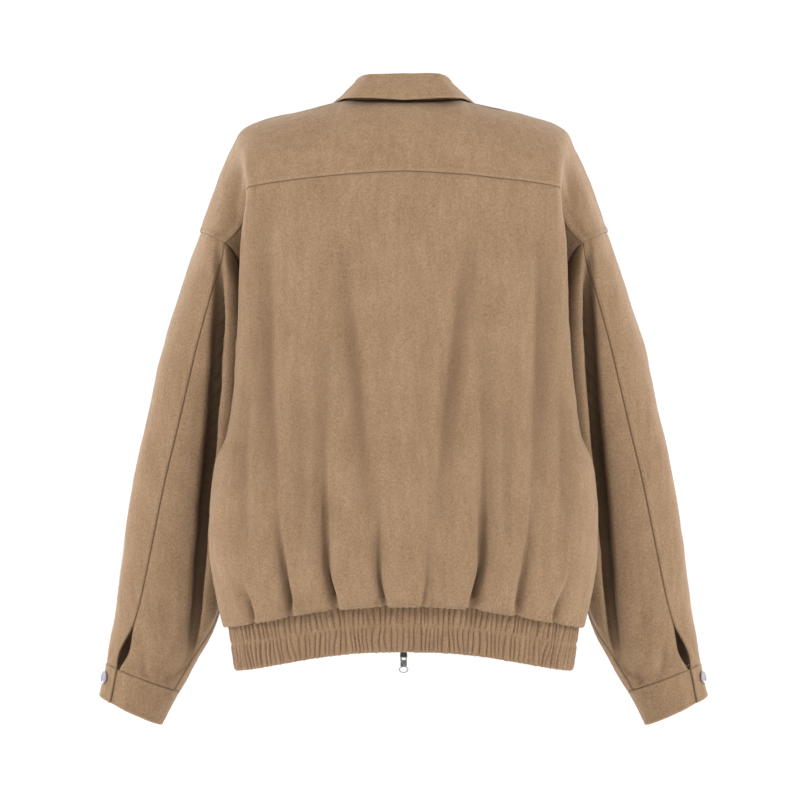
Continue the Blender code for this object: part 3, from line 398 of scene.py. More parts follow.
def shoulder_row(level, behind, shares):
    """A row above the yoke seam's level: it arches up and over to the neckline and the ridge."""
    rise = level - YOKE
    sweep = np.linspace(0 if behind else 180, 90, 60)
    neck = spaced(neckline(sweep), np.clip(shares / NECK_SHARE, 0, 1))
    ridge = np.stack(row_at(RIDGE, np.linspace(0, len(RIDGE) - 1, 200)), axis=1)
    ridge = spaced(ridge, np.clip((shares - NECK_SHARE) / (1 - NECK_SHARE), 0, 1))
    high = np.where(shares[:, None] < NECK_SHARE, neck, ridge)
    low = body_row(YOKE, behind, shares)
    arch = np.full(len(shares), ARCH)
    if not behind:
        arch = THROAT_ARCH + (ARCH - THROAT_ARCH) * smooth(low[:, 0] / THROAT_REACH)
    turn = rise * math.pi / 2
    across = (1 - arch) * (1 - rise) + arch * math.cos(turn)
    up = (1 - arch) * rise + arch * math.sin(turn)
    row = high + (low - high) * (1 - rise)
    row[:, 1] = high[:, 1] + (low[:, 1] - high[:, 1]) * across
    row[:, 2] = low[:, 2] + (high[:, 2] - low[:, 2]) * up
    miss = tube(*armhole(level, behind)) - row[-1]
    return row + miss * smooth((shares - SHOULDER_SHARE) / (1 - SHOULDER_SHARE))[:, None]


def body_rows(levels, behind, shares):
    shares = np.asarray(shares, float)
    return np.array([(shoulder_row if v > YOKE else body_row)(v, behind, shares) for v in levels])


def even_levels(low, high, behind, steps):
    """Levels whose rows lie at the given shares of the way up the middle of the half."""
    fine = np.linspace(low, high, 160)
    along = lengths(body_rows(fine, behind, [0.4])[:, 0])
    return np.interp(steps * along[-1], along, fine)


def mirrored(grid):
    return grid * np.array([-1.0, 1.0, 1.0])


def both_halves(half):
    """A half that starts on the centre line, with its mirror image joined on."""
    return np.concatenate([mirrored(half[:, :0:-1]), half], axis=1)


def outwards_of(grid, outside):
    """Unit directions out of the cloth. outside is a point out in front of the nearest part."""
    out = unit(np.cross(np.gradient(grid, axis=1), np.gradient(grid, axis=0)))
    away = np.asarray(outside, float) - grid
    nearest = np.unravel_index(np.argmin(np.linalg.norm(away, axis=2)), away.shape[:2])
    return out if out[nearest] @ away[nearest] > 0 else -out


def undulation(points, wavelength, seed, waves=18):
    """Smooth irregular waves through space, between about -1 and 1."""
    random = np.random.default_rng(seed)
    ways = random.normal(size=(waves, 3))
    ways *= math.tau / wavelength / np.linalg.norm(ways, axis=1, keepdims=True)
    ways *= random.uniform(0.6, 1.4, (waves, 1))
    phases = random.uniform(0, math.tau, waves)
    return np.sin(points @ ways.T + phases).sum(axis=-1) / math.sqrt(waves)


def hanging(points, wavelength, finer, seed):
    """The waviness of cloth: long waves with finer ones on them."""
    waves = undulation(points, wavelength, seed) + 0.35 * undulation(points, finer, seed + 1)
    return UNDULATION * waves


def creased(grid, out, creases, free):
    """The grid with the creases pushed into it, and how much painted shade each point gets.
    free (0 to 1) keeps the cloth beside a seam in place."""
    x, z = np.abs(grid[..., 0]), grid[..., 2]
    depth, lap, pressed = np.zeros_like(x), np.zeros_like(x), np.zeros_like(x)
    for crease in creases:
        heights = (crease.foot_z, crease.mid_z, crease.head_z)
        away = x - through(heights, (crease.foot_x, crease.mid_x, crease.head_x), z)
        t = np.clip((z - crease.foot_z) / (crease.head_z - crease.foot_z), 0, 1)
        outer, inner = crease.outer, crease.inner
        if crease.tuck:
            fade = 1 - smooth(t)
            outer, inner = outer * (1 + 0.8 * t), inner * (1 + 0.8 * t)
            width = np.where(away > 0, outer, inner)
            line = np.where(away > 0, SHARP * outer, inner)
            profile = 0.5 * np.exp(-((away / width) ** 2)) + 0.5 * np.exp(-((away / line) ** 2))
            profile = profile + 0.3 * free * np.exp(-((away / TUCK_PILLOW) ** 2))
        else:
            within = (z > crease.foot_z) & (z < crease.head_z)
            fade = np.where(within, np.sin(math.pi * t) ** 1.4, 0.0)
            profile = np.exp(-((away / np.where(away > 0, outer, inner)) ** 2))
        fade = fade * np.where(grid[..., 0] < 0, crease.right, 1.0)
        depth += crease.depth * fade * profile
        # Painted shade, darkest on the outer flank and down the trough of each crease.
        flank = np.where(away > 0, (0.7 if crease.tuck else 1.0) * outer, 0.5 * inner)
        shade = fade * np.exp(-((away / flank) ** 2)) * min(1.0, crease.depth / 0.010)
        pressed = np.maximum(pressed, shade)
        beside = 1.6 * crease.inner
        lap += crease.lap * fade * np.exp(-(((away + beside) / beside) ** 2))
    moved = grid - out * (depth * (HEM_DEPTH + (1 - HEM_DEPTH) * free))[..., None]
    moved[..., 0] += np.sign(grid[..., 0]) * lap * free
    return moved, pressed * (0.75 + 0.25 * free)


def turned_edge(*edges, radius=0.0006):
    """How far the face sinks beside edges where the cloth is turned in."""
    shares = [np.clip(distance / radius, 0, 1) for distance in edges]
    return sum(radius * (1 - np.sqrt(1 - (1 - share) ** 2)) for share in shares)


def seam_ridge(*edges, width=0.0065, height=0.00045):
    """How far the seam allowance underneath lifts the cloth, up to its row of stitches."""
    lift = 0
    for distance in edges:
        rise = smooth((distance - 0.0006) / 0.0016) - smooth((distance - width + 0.0006) / 0.0022)
        lift = lift + height * rise - 0.0003 * np.exp(-(((distance - width) / 0.0009) ** 2))
    return lift


def seam_shade(*sewn_edges):
    """Painted shade down in the seams, from the distances to the edges that are sewn."""
    return SEAM_SHADE_TONE * np.exp(-np.minimum.reduce(sewn_edges) / 0.00045)


Edges = namedtuple("Edges", "low high first last")


def distances(grid):
    """Each point's distance from the grid's four edges."""
    up, across = lengths(grid), lengths(grid.transpose(1, 0, 2)).T
    return Edges(up, up[-1] - up, across, across[:, -1:] - across)


def beside_edge(grid, edge, distance):
    """The line over a grid that keeps its distance from one of the grid's edges."""
    lines = grid.transpose(1, 0, 2) if edge in ("low", "high") else grid
    step = 1 if edge in ("low", "first") else -1
    return np.array([at_distance(line[::step], distance) for line in lines])


def suede(name, dark, light, nap=1.0):
    """Faux suede: a short brushed nap whose tone drifts in clouds, streaks, mottling and grain."""
    material, tree, shader, place = new_material(name)
    brushed = add(tree, "ShaderNodeMapping", {"Vector": place, "Scale": (1.0, 1.0, 0.22)})
    layers = (  # coordinates, scale, detail, share
        (place, 20.0, 2.0, 0.11),
        (brushed.outputs["Vector"], 120.0, 3.0, 0.16),
        (place, 420.0, 4.0, 0.33),
        (place, 1100.0, 3.0, 0.40),
    )
    tone = None
    for where, scale, detail, share in layers:
        part = maths(tree, "MULTIPLY", noise(tree, where, scale, detail), share)
        tone = maths(tree, "ADD", tone, part) if tone else part
    colour = tones(tree, tone, dark, light, 0.38, 0.62)
    # The pale colour is rubbed wear; the dark one is painted shade for creases, seams and rib
    # grooves.
    rubbed, painted_shade_colour = tuple(min(1.0, c * 1.10) for c in light), tuple(0.62 * c for c in dark)
    for attribute, other in (("worn", rubbed), ("pressed", painted_shade_colour)):
        share = add(tree, "ShaderNodeAttribute", attribute_name=attribute).outputs["Fac"]
        mix = {0: share, 6: colour, 7: (*other, 1.0)}
        mixed = add(tree, "ShaderNodeMix", mix, data_type="RGBA")
        colour = mixed.outputs[2]
    height = maths(tree, "ADD", noise(tree, place, 1500.0, 2.0), tone)
    fill(shader, {
        "Base Color": colour, "Roughness": fade(tree, tone, 0.3, 0.7, 0.98, 0.86),
        "Normal": bump(tree, 0.35 * nap, 0.0008, height), "Specular IOR Level": 0.18,
        "Sheen Weight": 0.06, "Sheen Roughness": 0.45, "Sheen Tint": (1.0, 0.86, 0.72, 1.0),
    })
    return material


stitch_lines = {"body": [], "sleeves": []}  # where the topstitching runs, added piece by piece
tan_suede = suede("tan_suede", (0.105, 0.0613, 0.0320), (0.178, 0.1165, 0.0685))


def topstitch(group, grid, distance, *edges, only=slice(None)):
    stitch_lines[group] += [beside_edge(grid, edge, distance)[only] for edge in edges]


def cloth_wall(name, outer, out, thickness, material, worn=0.0, pressed=0.0):
    """A closed wall with the outer grid as its face. Its UV map is in metres. worn says where the
    nap is rubbed pale; the last argument is painted shade, darker in creases and seams."""
    rows, columns = outer.shape[:2]
    count = rows * columns
    inner = outer - out * np.broadcast_to(thickness, (rows, columns))[..., None]
    index = np.arange(count).reshape(rows, columns)
    face = np.stack([index[:-1, :-1], index[:-1, 1:], index[1:, 1:], index[1:, :-1]], axis=-1)
    face = face.reshape(-1, 4)
    a, b, c = (outer.reshape(-1, 3)[face[:, k]] for k in range(3))
    facing = np.sum(np.cross(b - a, c - a) * out.reshape(-1, 3)[face[:, 0]])
    border = np.concatenate([index[0], index[1:, -1], index[-1, -2::-1], index[-2:0:-1, 0]])
    beyond = np.roll(border, -1)
    rim = np.stack([beyond, border, border + count, beyond + count], axis=-1)
    faces = np.concatenate([face, face[:, ::-1] + count, rim])
    if facing < 0:
        faces = faces[:, ::-1]
    mesh = bpy.data.meshes.new(name)
    mesh.from_pydata(np.concatenate([outer.reshape(-1, 3), inner.reshape(-1, 3)]), [], faces)
    mesh.shade_smooth()
    edges = distances(outer)
    uv = np.stack([edges.first, edges.low], axis=-1).reshape(-1, 2)
    corner = np.empty(len(mesh.loops), np.int32)
    mesh.loops.foreach_get("vertex_index", corner)
    layer = mesh.uv_layers.new(name="cloth")
    layer.uv.foreach_set("vector", uv[corner % count].astype(np.float32).ravel())
    for attribute, values in (("worn", worn), ("pressed", pressed)):
        set_values(mesh, attribute, np.tile(np.broadcast_to(values, (rows, columns)).ravel(), 2))
    mesh.materials.append(material)
    return new_object(name, mesh)


def set_values(mesh, attribute, values):
    layer = mesh.attributes.new(attribute, "FLOAT", "POINT")
    layer.data.foreach_set("value", values.astype(np.float32))


def put_on(obj, body, slot, *nodes, **cut):
    """Attaches a piece to the body that carries it and hides the solids it stands for. slot and cut
    are not used.
    """
    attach(obj, body)
    if nodes:
        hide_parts(*nodes)


def sew(node, grid, out, lift, thickness=CLOTH, worn=0.0, pressed=0.0, **cut):
    """One piece of tan suede, its face lifted off the grid. Returns the face."""
    grid = grid + out * lift[..., None]
    cloth = cloth_wall(f"{node}_suede", grid, out, thickness, tan_suede, worn, pressed)
    put_on(cloth, "jacket", "suede", node, **cut)
    return grid


BACK_ROWS, YOKE_ROWS, HALF_COLUMNS = 134, 46, 150
panel_levels = even_levels(0, YOKE, True, crowded(BACK_ROWS, 0.15, 0.10))
yoke_levels = even_levels(YOKE, SHOULDER, True, crowded(YOKE_ROWS, 0.15, 0.20))
back_levels = np.concatenate([panel_levels, yoke_levels[1:]])
plain_back = both_halves(body_rows(back_levels, True, crowded(HALF_COLUMNS, 1.0, 0.15)))
outwards_of_back = partial(outwards_of, outside=(0, 1, -0.3))
by_hem = smooth((back_levels - 0.75) / 1.6)[:, None]
whole_back, pressed = creased(plain_back, outwards_of_back(plain_back), BACK_CREASES, by_hem)
free = smooth(back_levels / 2.0)[:, None]
pucker = math.tau * distances(plain_back).first / PUCKER_LENGTH
pucker = np.sin(pucker + 2 * undulation(whole_back, 0.04, 5))
near_hem = smooth(back_levels / 0.6) * (1 - smooth((back_levels - 0.8) / 2.6))
lift = hanging(whole_back, 0.075, 0.028, 3) * free + HEM_PUCKER * pucker * near_hem[:, None]
whole_back = whole_back + outwards_of_back(whole_back) * lift[..., None]
out_back = outwards_of_back(whole_back)

panel, edges = whole_back[:BACK_ROWS], distances(whole_back[:BACK_ROWS])
sides = (edges.first, edges.last)
sink = YOKE_STEP * (1 - smooth(edges.high / 0.006)) + turned_edge(edges.low, radius=0.0010)
sink += turned_edge(*sides) - seam_ridge(*sides)
# The panel gets painted shade in its creases and along its seams.
panel = sew(
    "back_panel", panel, out_back[:BACK_ROWS], -sink, worn=0.3 * np.exp(-edges.low / 0.004),
    pressed=CREASE_SHADE_TONE * pressed[:BACK_ROWS] + seam_shade(edges.high, *sides),
    flat=(0.70, 0.56), held="gathered", rests_on=["waistband_back"], area=0.345,
)
yoke, edges = whole_back[BACK_ROWS - 1 :], distances(whole_back[BACK_ROWS - 1 :])
above = (edges.high, edges.first, edges.last)
sink = turned_edge(edges.low, radius=0.0009) - YOKE_STEP * (1 - smooth((edges.low - 0.006) / 0.004))
sink += turned_edge(*above) - seam_ridge(*above) - seam_ridge(edges.low, height=0.0002)
# The yoke gets painted shade in its creases and along its seams, under its lapped edge too.
yoke = sew(
    "back_yoke", yoke, out_back[BACK_ROWS - 1 :], -sink, worn=0.5 * np.exp(-edges.low / 0.002),
    pressed=CREASE_SHADE_TONE * pressed[BACK_ROWS - 1 :] + seam_shade(*edges),
    flat=(0.66, 0.16), held="hung", rests_on=["collar"], area=0.085,
)
topstitch("body", yoke, YOKE_STITCH, "low", "high")
for edge in ("first", "last"):
    topstitch("body", panel, ARMHOLE_STITCH, edge, only=panel_levels > UNDERARM + 0.15)
    topstitch("body", yoke, ARMHOLE_STITCH, edge)

# ------------------------------------------------------------------ fronts
# Left and right front of the same suede, from the waistband to the shoulder seam. Each edge is
# folded under and topstitched down beside the zip. Their fullness is tucked into the waistband.
SIDES = (("left", lambda grid: grid), ("right", mirrored))
ZIP_OPENING = 0.0052  # half of the gap between the two edges
FRONT_ROWS, FRONT_COLUMNS = 150, 104
FRONT_EDGE_STITCH = 0.0075
FRONT_CREASES = creases_in_mm((
    (165, -628, 172, -590, 184, -530, 10, 2.8, 8.5, 1.2, True),
    (115, -622, 124, -570, 135, -450, 12, 3, 10, 1.6, True),
    (62, -618, 68, -565, 80, -430, 11, 3, 9, 1.4, True),
    (86, -619, 88, -602, 90, -585, 3, 2, 3.6, 0.6, True),
    (78, -480, 96, -320, 130, -170, 15, 13, 4.2, 0, False),
    (135, -500, 148, -380, 166, -240, 13, 11, 4.6, 0, False),
    (40, -520, 42, -390, 52, -250, 12, 11, 2.6, 0, False),
    (100, -250, 130, -170, 165, -100, 12, 12, 3, 0, False),
))
front_levels = even_levels(0, SHOULDER, False, crowded(FRONT_ROWS, 0.15, 0.15))
front = body_rows(front_levels, False, crowded(FRONT_COLUMNS, 0.20, 0.15))
ahead = np.array([0.1, -1.0, -0.3])
held = smooth((front_levels - 0.75) / 1.6)[:, None] * smooth((front[..., 0] - 0.012) / 0.03)
front, pressed = creased(front, outwards_of(front, ahead), FRONT_CREASES, held)
front[:, 0, 0] = ZIP_OPENING
for side, place in SIDES:
    grid = place(front)
    edges = distances(grid)
    sewn = (edges.high, edges.last)
    lift = hanging(grid, 0.07, 0.028, 21) * held - turned_edge(*sewn) + seam_ridge(*sewn)
    lift -= turned_edge(edges.low, radius=0.0010) + turned_edge(edges.first, radius=0.0007)
    lift += seam_ridge(edges.first, width=FRONT_EDGE_STITCH, height=0.0006)
    # Each front gets painted shade in its creases and along its seams.
    grid = sew(
        f"front_{side}", grid, outwards_of(grid, place(ahead)), lift,
        worn=0.6 * np.exp(-edges.first / 0.002), pressed=CREASE_SHADE_TONE * pressed + seam_shade(*sewn),
        flat=(0.34, 0.66), held="gathered", rests_on=[f"waistband_front_{side}"], area=0.155,
    )
    topstitch("body", grid, FRONT_EDGE_STITCH, "first")
    topstitch("body", grid, ARMHOLE_STITCH, "last", only=front_levels > UNDERARM + 0.15)

# ------------------------------------------------------------------ sleeves
# Each sleeve has two pieces: a wide top sleeve and a narrower under sleeve behind the arm. The
# seam between them runs down behind to the cuff's slit. Worn, the sleeve folds along its length.
CUFF_SEAM = 8  # ring of the sleeve tube
SLIT_TOP, SLIT_WIDTH = 6.38, 15.0
SLEEVE_STITCH, SLIT_STITCH = 0.006, 0.003
SLEEVE_ROWS, TOP_COLUMNS, UNDER_COLUMNS = 130, 112, 92
VALLEY_OUTSIDE, VALLEY_INSIDE, VALLEY_DEPTH = 0.0050, 0.0042, 0.008
VALLEY_LIP = 0.006  # the cloth between the fold and the body stands out that much
DEGREE, RING_DROP = 0.00105, 0.075  # about how far a degree and a ring are, in metres
SLEEVE_WRINKLES = (  # angle and ring from, angle and ring to, width and depth in millimetres
    (22, 7.9, 38, 7.1, 6, 1.4), (95, 7.9, 78, 6.7, 7, 2.8), (130, 7.9, 118, 7.0, 6, 2.4),
    (100, 6.6, 84, 5.6, 9, 2.0), (-22, 7.9, -34, 6.8, 7, 3.0), (-70, 7.9, -62, 6.6, 8, 3.4),
    (-118, 7.9, -104, 6.7, 7, 2.8), (-60, 6.2, -128, 5.3, 10, 4.6), (-40, 4.9, -120, 4.5, 12, 5.2),
    (-52, 3.9, -130, 4.1, 11, 4.4), (-75, 2.0, -140, 3.2, 13, 5.0), (-60, 0.9, -112, 2.2, 14, 4.0),
)


def slit(ring, share_from_seam):
    """How far, in degrees, the slit pushes the cloth beside the back seam away from it."""
    down = np.clip((ring - SLIT_TOP) / (CUFF_SEAM - SLIT_TOP), 0, 1)
    lens = 0.75 * np.sin(np.pi * down**1.3) + 0.30 * smooth(down * 1.5)
    return SLIT_WIDTH / 2 * lens * np.clip(1 - share_from_seam * 6, 0, 1)


def sleeve_angles(starts, top):
    """Each point's angle and ring: columns from the armhole (angle, ring) down to the cuff."""
    drops = crowded(SLEEVE_ROWS, 0.12, 0.15)
    whole_turn = 360 if top else 0
    angles, rings = [], []
    for (angle, ring), end in zip(starts, np.linspace(0, 1, len(starts))):
        down = ring + (CUFF_SEAM - ring) * drops
        rows, first = row_at(SLEEVE, down), row_at(SLEEVE, ring)
        start = (angle - first.seam) / (first.under - first.seam - whole_turn)
        share = start + (end - start) * drops
        open_by = (-1 if top else 1) * slit(down, share)
        angles.append(rows.seam + (rows.under - rows.seam - whole_turn) * share + open_by)
        rings.append(down)
    return np.stack(angles, axis=1), np.stack(rings, axis=1)


def valley(angles, rings):
    """How far each point of a sleeve is down in the long fold beside the body, and on its lip."""
    row, turn = row_at(SLEEVE, rings), np.radians(angles)
    share = np.clip(row.crease / 0.018, 0, 1)
    lip = (sleeve_x(row, turn) - row.crease_x + 0.018) / 0.010
    lip = np.exp(-(lip**2)) * smooth(np.sin(turn) * 4)
    return share * trough(row, turn, VALLEY_OUTSIDE, VALLEY_INSIDE), share * lip


def wrinkled(angles, rings):
    """How deep the wrinkles are at each point of a sleeve."""
    depth = 0
    unit_size = np.array([DEGREE, RING_DROP])
    at = np.stack([angles, rings], axis=-1) * unit_size
    for *ends, width, deep in SLEEVE_WRINKLES:
        start, end = np.reshape(ends, (2, 2)) * unit_size
        way = end - start
        t = ((at - start) @ way) / (way @ way)
        miss = np.linalg.norm(at - start - np.clip(t, 0, 1)[..., None] * way, axis=-1)
        along = np.where((t > 0) & (t < 1), np.sin(math.pi * np.clip(t, 0, 1) ** 0.6), 0.0)
        depth = depth + deep / 1000 * along * np.exp(-((miss / (width / 1000)) ** 2))
    return depth


def armhole_starts(route, count):
    """Points along the armhole, evenly spread but closer together by the seams."""
    angle, ring = (np.array(v, float) for v in zip(*(armhole(*place) for place in route)))
    along = lengths(tube(angle, ring))
    at = crowded(count, 0.15, 0.15) * along[-1]
    return list(zip(np.interp(at, along, angle), np.interp(at, along, ring)))


under_route = [(level, True) for level in np.linspace(YOKE, UNDERARM, 80)]
top_route = [(level, True) for level in np.linspace(YOKE, SHOULDER, 40)]
top_route += [(level, False) for level in np.linspace(SHOULDER, UNDERARM, 120)[1:]]
for piece, route, count, flat, area, outside in (
    ("sleeve_top", top_route, TOP_COLUMNS, (0.34, 0.55), 0.120, (0.9, -0.1, -0.45)),
    ("sleeve_under", under_route, UNDER_COLUMNS, (0.22, 0.52), 0.078, (0.30, 0.4, -0.45)),
):
    top = piece == "sleeve_top"
    angles, rings = sleeve_angles(armhole_starts(route, count), top)
    fold, lip = valley(angles, rings)
    for side, place in SIDES:
        grid = place(tube(angles, rings))
        edges = distances(grid)
        sides = (edges.first, edges.last)
        lift = 0.6 * hanging(grid, 0.06, 0.024, 31) - wrinkled(angles, rings) - VALLEY_DEPTH * fold
        lift += VALLEY_LIP * lip * smooth(edges.low / 0.04)
        lift *= smooth(edges.first / 0.02) * smooth(edges.last / 0.02)
        lift -= YOKE_STEP * (1 - smooth(edges.low / 0.006)) + turned_edge(edges.high, *sides)
        if top:
            lift += seam_ridge(*sides)
        # The sleeve gets painted shade down its long fold and along its seams.
        grid = sew(
            f"{piece}_{side}", grid, outwards_of(grid, place(np.array(outside))), lift,
            pressed=0.8 * fold + seam_shade(*edges),
            flat=flat, held="hung", rests_on=["back_yoke", f"front_{side}"], area=area,
        )
        if top:
            topstitch("sleeves", grid, SLEEVE_STITCH, "first")
        else:
            topstitch("sleeves", grid, SLIT_STITCH, "first", only=rings[:, 0] > SLIT_TOP)
            topstitch("sleeves", grid, SLEEVE_STITCH, "last")

# ------------------------------------------------------------------ cuffs
# A straight band of two layers of suede closes each sleeve. Its outer end laps over the other
# end and is held by a snap. All its edges are turned in and topstitched.
DOUBLE_CLOTH = 0.0026
CUFF_UNDERLAP, CUFF_LAP_BEGINS = 30.0, 4.0
CUFF_LAP_CLEARANCE, CUFF_CLEARANCE = 0.0006, 0.006
CUFF_ROWS, CUFF_COLUMNS, CUFF_STITCH = 30, 150, 0.0034
LAP_SINKS, LAP_SUNK = 330, 355  # degrees round the cuff at which it passes in under the lap


def thinned(thickness, rounding, most=0.85):
    """The thickness of doubled cloth, less where its edge is rounded off."""
    return thickness - np.minimum(1.8 * rounding, thickness * most)


# From the outer end of the lap, round the arm and on under the lap.
turned = crowded(CUFF_COLUMNS, 0.3, 0.5) * (360 + CUFF_UNDERLAP)
under_lap = smooth((turned - LAP_SINKS) / (LAP_SUNK - LAP_SINKS))
under_lap *= DOUBLE_CLOTH + CUFF_LAP_CLEARANCE
cuff = []
for ring in CUFF_SEAM + CUFF_CLEARANCE + crowded(CUFF_ROWS, 0.35, 0.35) * (1 - CUFF_CLEARANCE):
    row = row_at(SLEEVE, ring)
    surface = tube(row.seam - CUFF_LAP_BEGINS - turned, ring)
    middle = np.array([(row.outer_x + row.inner_x) / 2, row.y, (row.outer_z + row.inner_z) / 2])
    cuff.append(surface + unit(middle - surface) * under_lap[:, None])
for side, place in SIDES:
    grid = place(np.array(cuff))
    edges = distances(grid)
    rounding = turned_edge(*edges, radius=0.0012)
    lift = seam_ridge(*edges, width=0.0050, height=0.0003) - rounding
    lift += 0.0004 * undulation(grid, 0.035, 41)
    grid = sew(
        f"cuff_{side}", grid, outwards_of(grid, place(np.array([0.9, -0.1, -0.7]))), lift,
        thinned(DOUBLE_CLOTH, rounding),
        worn=0.7 * np.exp(-np.minimum(edges.high, edges.first) / 0.002),
        flat=(0.265, 0.052), held="hung", rests_on=[f"sleeve_top_{side}"],
    )
    topstitch("sleeves", grid, CUFF_STITCH, "low", "high", "first")

# ------------------------------------------------------------------ waistband
# A doubled strip of suede drawn in over a wide elastic, so that it gathers into narrow uneven
# ribs. A row of stitches along its middle holds the elastic and nips the ribs.
BAND_HEIGHT, BAND_THICKNESS = 0.0575, 0.0030
BAND_LEAN, BAND_CLEARANCE = 0.0085, 0.0014
BAND_SEAM, BAND_TUCKED = 0.003, 0.0021  # the band goes that far up and in behind the hem
BAND_STITCH_SUNK = 0.0003
# The last of these is the painted shade down in the grooves between the ribs.
RIB_PITCH, RIB_DEPTH, RIB_GROOVE_SHADE = 0.0062, 0.0034, 0.6
BAND_ROWS, BAND_HALF_COLUMNS = 26, 420
rib_suede = suede("ribbed_suede", (0.100, 0.0575, 0.0300), (0.172, 0.1105, 0.0645), 0.8)


def node_group(name, sockets):
    """A Geometry Nodes tree with its named inputs, and its first and last node."""
    tree = bpy.data.node_groups.new(name, "GeometryNodeTree")
    for socket, kind in {"Geometry": "Geometry", **sockets}.items():
        tree.interface.new_socket(socket, in_out="INPUT", socket_type="NodeSocket" + kind)
    tree.interface.new_socket("Geometry", in_out="OUTPUT", socket_type="NodeSocketGeometry")
    return tree, add(tree, "NodeGroupInput").outputs, add(tree, "NodeGroupOutput")


def finish_tree(tree, geometry, material, result):
    real = add(tree, "GeometryNodeRealizeInstances", {0: geometry}).outputs[0]
    painted = add(tree, "GeometryNodeSetMaterial", {"Geometry": real, "Material": material})
    fill(result, {0: painted.outputs[0]})
    return tree


def baked(obj):
    """The object with the result of its modifiers as its plain mesh."""
    depsgraph = bpy.context.evaluated_depsgraph_get()
    mesh = bpy.data.meshes.new_from_object(obj.evaluated_get(depsgraph))
    obj.modifiers.clear()
    obj.data = mesh
    return obj


def grown(obj, tree, values):
    """Runs the tree on an object with these inputs, and keeps the result as its plain mesh."""
    modifier = obj.modifiers.new(tree.name, "NODES")
    modifier.node_group = tree
    for item in tree.interface.items_tree:
        if item.item_type == "SOCKET" and item.in_out == "INPUT" and item.name in values:
            modifier[item.identifier] = values[item.name]
    return baked(obj)


def rib_tree():
    """Pushes the face of a band out into ribs with sharp grooves between them, and stores painted
    shade for the grooves.
    """
    sockets = {"Pitch": "Float", "Depth": "Float", "Seed": "Float", "Material": "Material"}
    tree, given, result = node_group("ribs", sockets)
    calc = partial(maths, tree)
    along, up, face = (
        add(tree, "GeometryNodeInputNamedAttribute", {"Name": name}, data_type="FLOAT").outputs[0]
        for name in ("along", "up", "face")
    )
    upper = calc("GREATER_THAN", up, 0.5)
    phase = calc("DIVIDE", along, given["Pitch"])
    for scale, strength, shift in ((34.0, 3.0, 0.5), (130.0, 0.75, 0.35)):
        side = calc("MULTIPLY_ADD", upper, shift, given["Seed"])
        place = {0: calc("MULTIPLY", along, scale), 1: side, 2: calc("MULTIPLY", up, 0.9)}
        where = add(tree, "ShaderNodeCombineXYZ", place).outputs[0]
        phase = calc("ADD", phase, calc("MULTIPLY", noise(tree, where, 1.0, 1.0), strength))
    arc = calc("SINE", calc("MULTIPLY", calc("FRACT", phase), math.pi))
    number = calc("FLOOR", phase)
    chance = add(tree, "ShaderNodeTexWhiteNoise", {"W": number}, noise_dimensions="1D")
    size = calc("MULTIPLY_ADD", chance.outputs["Value"], 0.6, 0.4)
    push = calc("MULTIPLY_ADD", calc("POWER", arc, 0.62), size, -0.42)
    groove_shade = calc("POWER", calc("SUBTRACT", 1.0, arc), 2.5)
    for middle, width, share in ((0.5, 0.035, 0.75), (0.0, 0.05, 0.7), (1.0, 0.05, 0.55)):
        miss = calc("POWER", calc("DIVIDE", calc("SUBTRACT", up, middle), width), 2.0)
        bell = calc("EXPONENT", calc("MULTIPLY", miss, -1.0))
        nip = calc("SUBTRACT", 1.0, calc("MULTIPLY", bell, share))
        push, groove_shade = calc("MULTIPLY", push, nip), calc("MULTIPLY", groove_shade, nip)
    push = calc("MULTIPLY", calc("MULTIPLY", push, given["Depth"]), face)
    normal = add(tree, "GeometryNodeInputNormal").outputs["Normal"]
    offset = add(tree, "ShaderNodeVectorMath", {0: normal, "Scale": push}, operation="SCALE")
    moved = {"Geometry": given["Geometry"], "Offset": offset.outputs[0]}
    moved = add(tree, "GeometryNodeSetPosition", moved).outputs[0]
    # Painted shade, darkest down in each groove between the ribs.
    tone = calc("MULTIPLY", groove_shade, RIB_GROOVE_SHADE)
    stored = {"Geometry": moved, "Name": "pressed", "Value": tone}
    toned = add(tree, "GeometryNodeStoreNamedAttribute", stored, data_type="FLOAT", domain="POINT")
    return finish_tree(tree, toned.outputs[0], given["Material"], result)


def band_grid(behind, columns):
    """The band hangs from the body's lowest row, straight down and a little inwards."""
    top = body_row(0, behind, np.linspace(0, 1, columns))
    rows = []
    for drop in crowded(BAND_ROWS, 0.4, 0.4):
        row = top.copy()
        tucked = 1 - smooth((drop * BAND_HEIGHT - BAND_CLEARANCE) / 0.003)
        lean = drop * BAND_LEAN + BAND_TUCKED * tucked
        row[:, 0] *= 1 - lean / BODY[0].width
        row[:, 1] -= lean * row[:, 1] / BODY[0].back_y
        row[:, 2] += BAND_SEAM - drop * (BAND_HEIGHT + BAND_SEAM + BAND_CLEARANCE)
        rows.append(row)
    return np.array(rows)


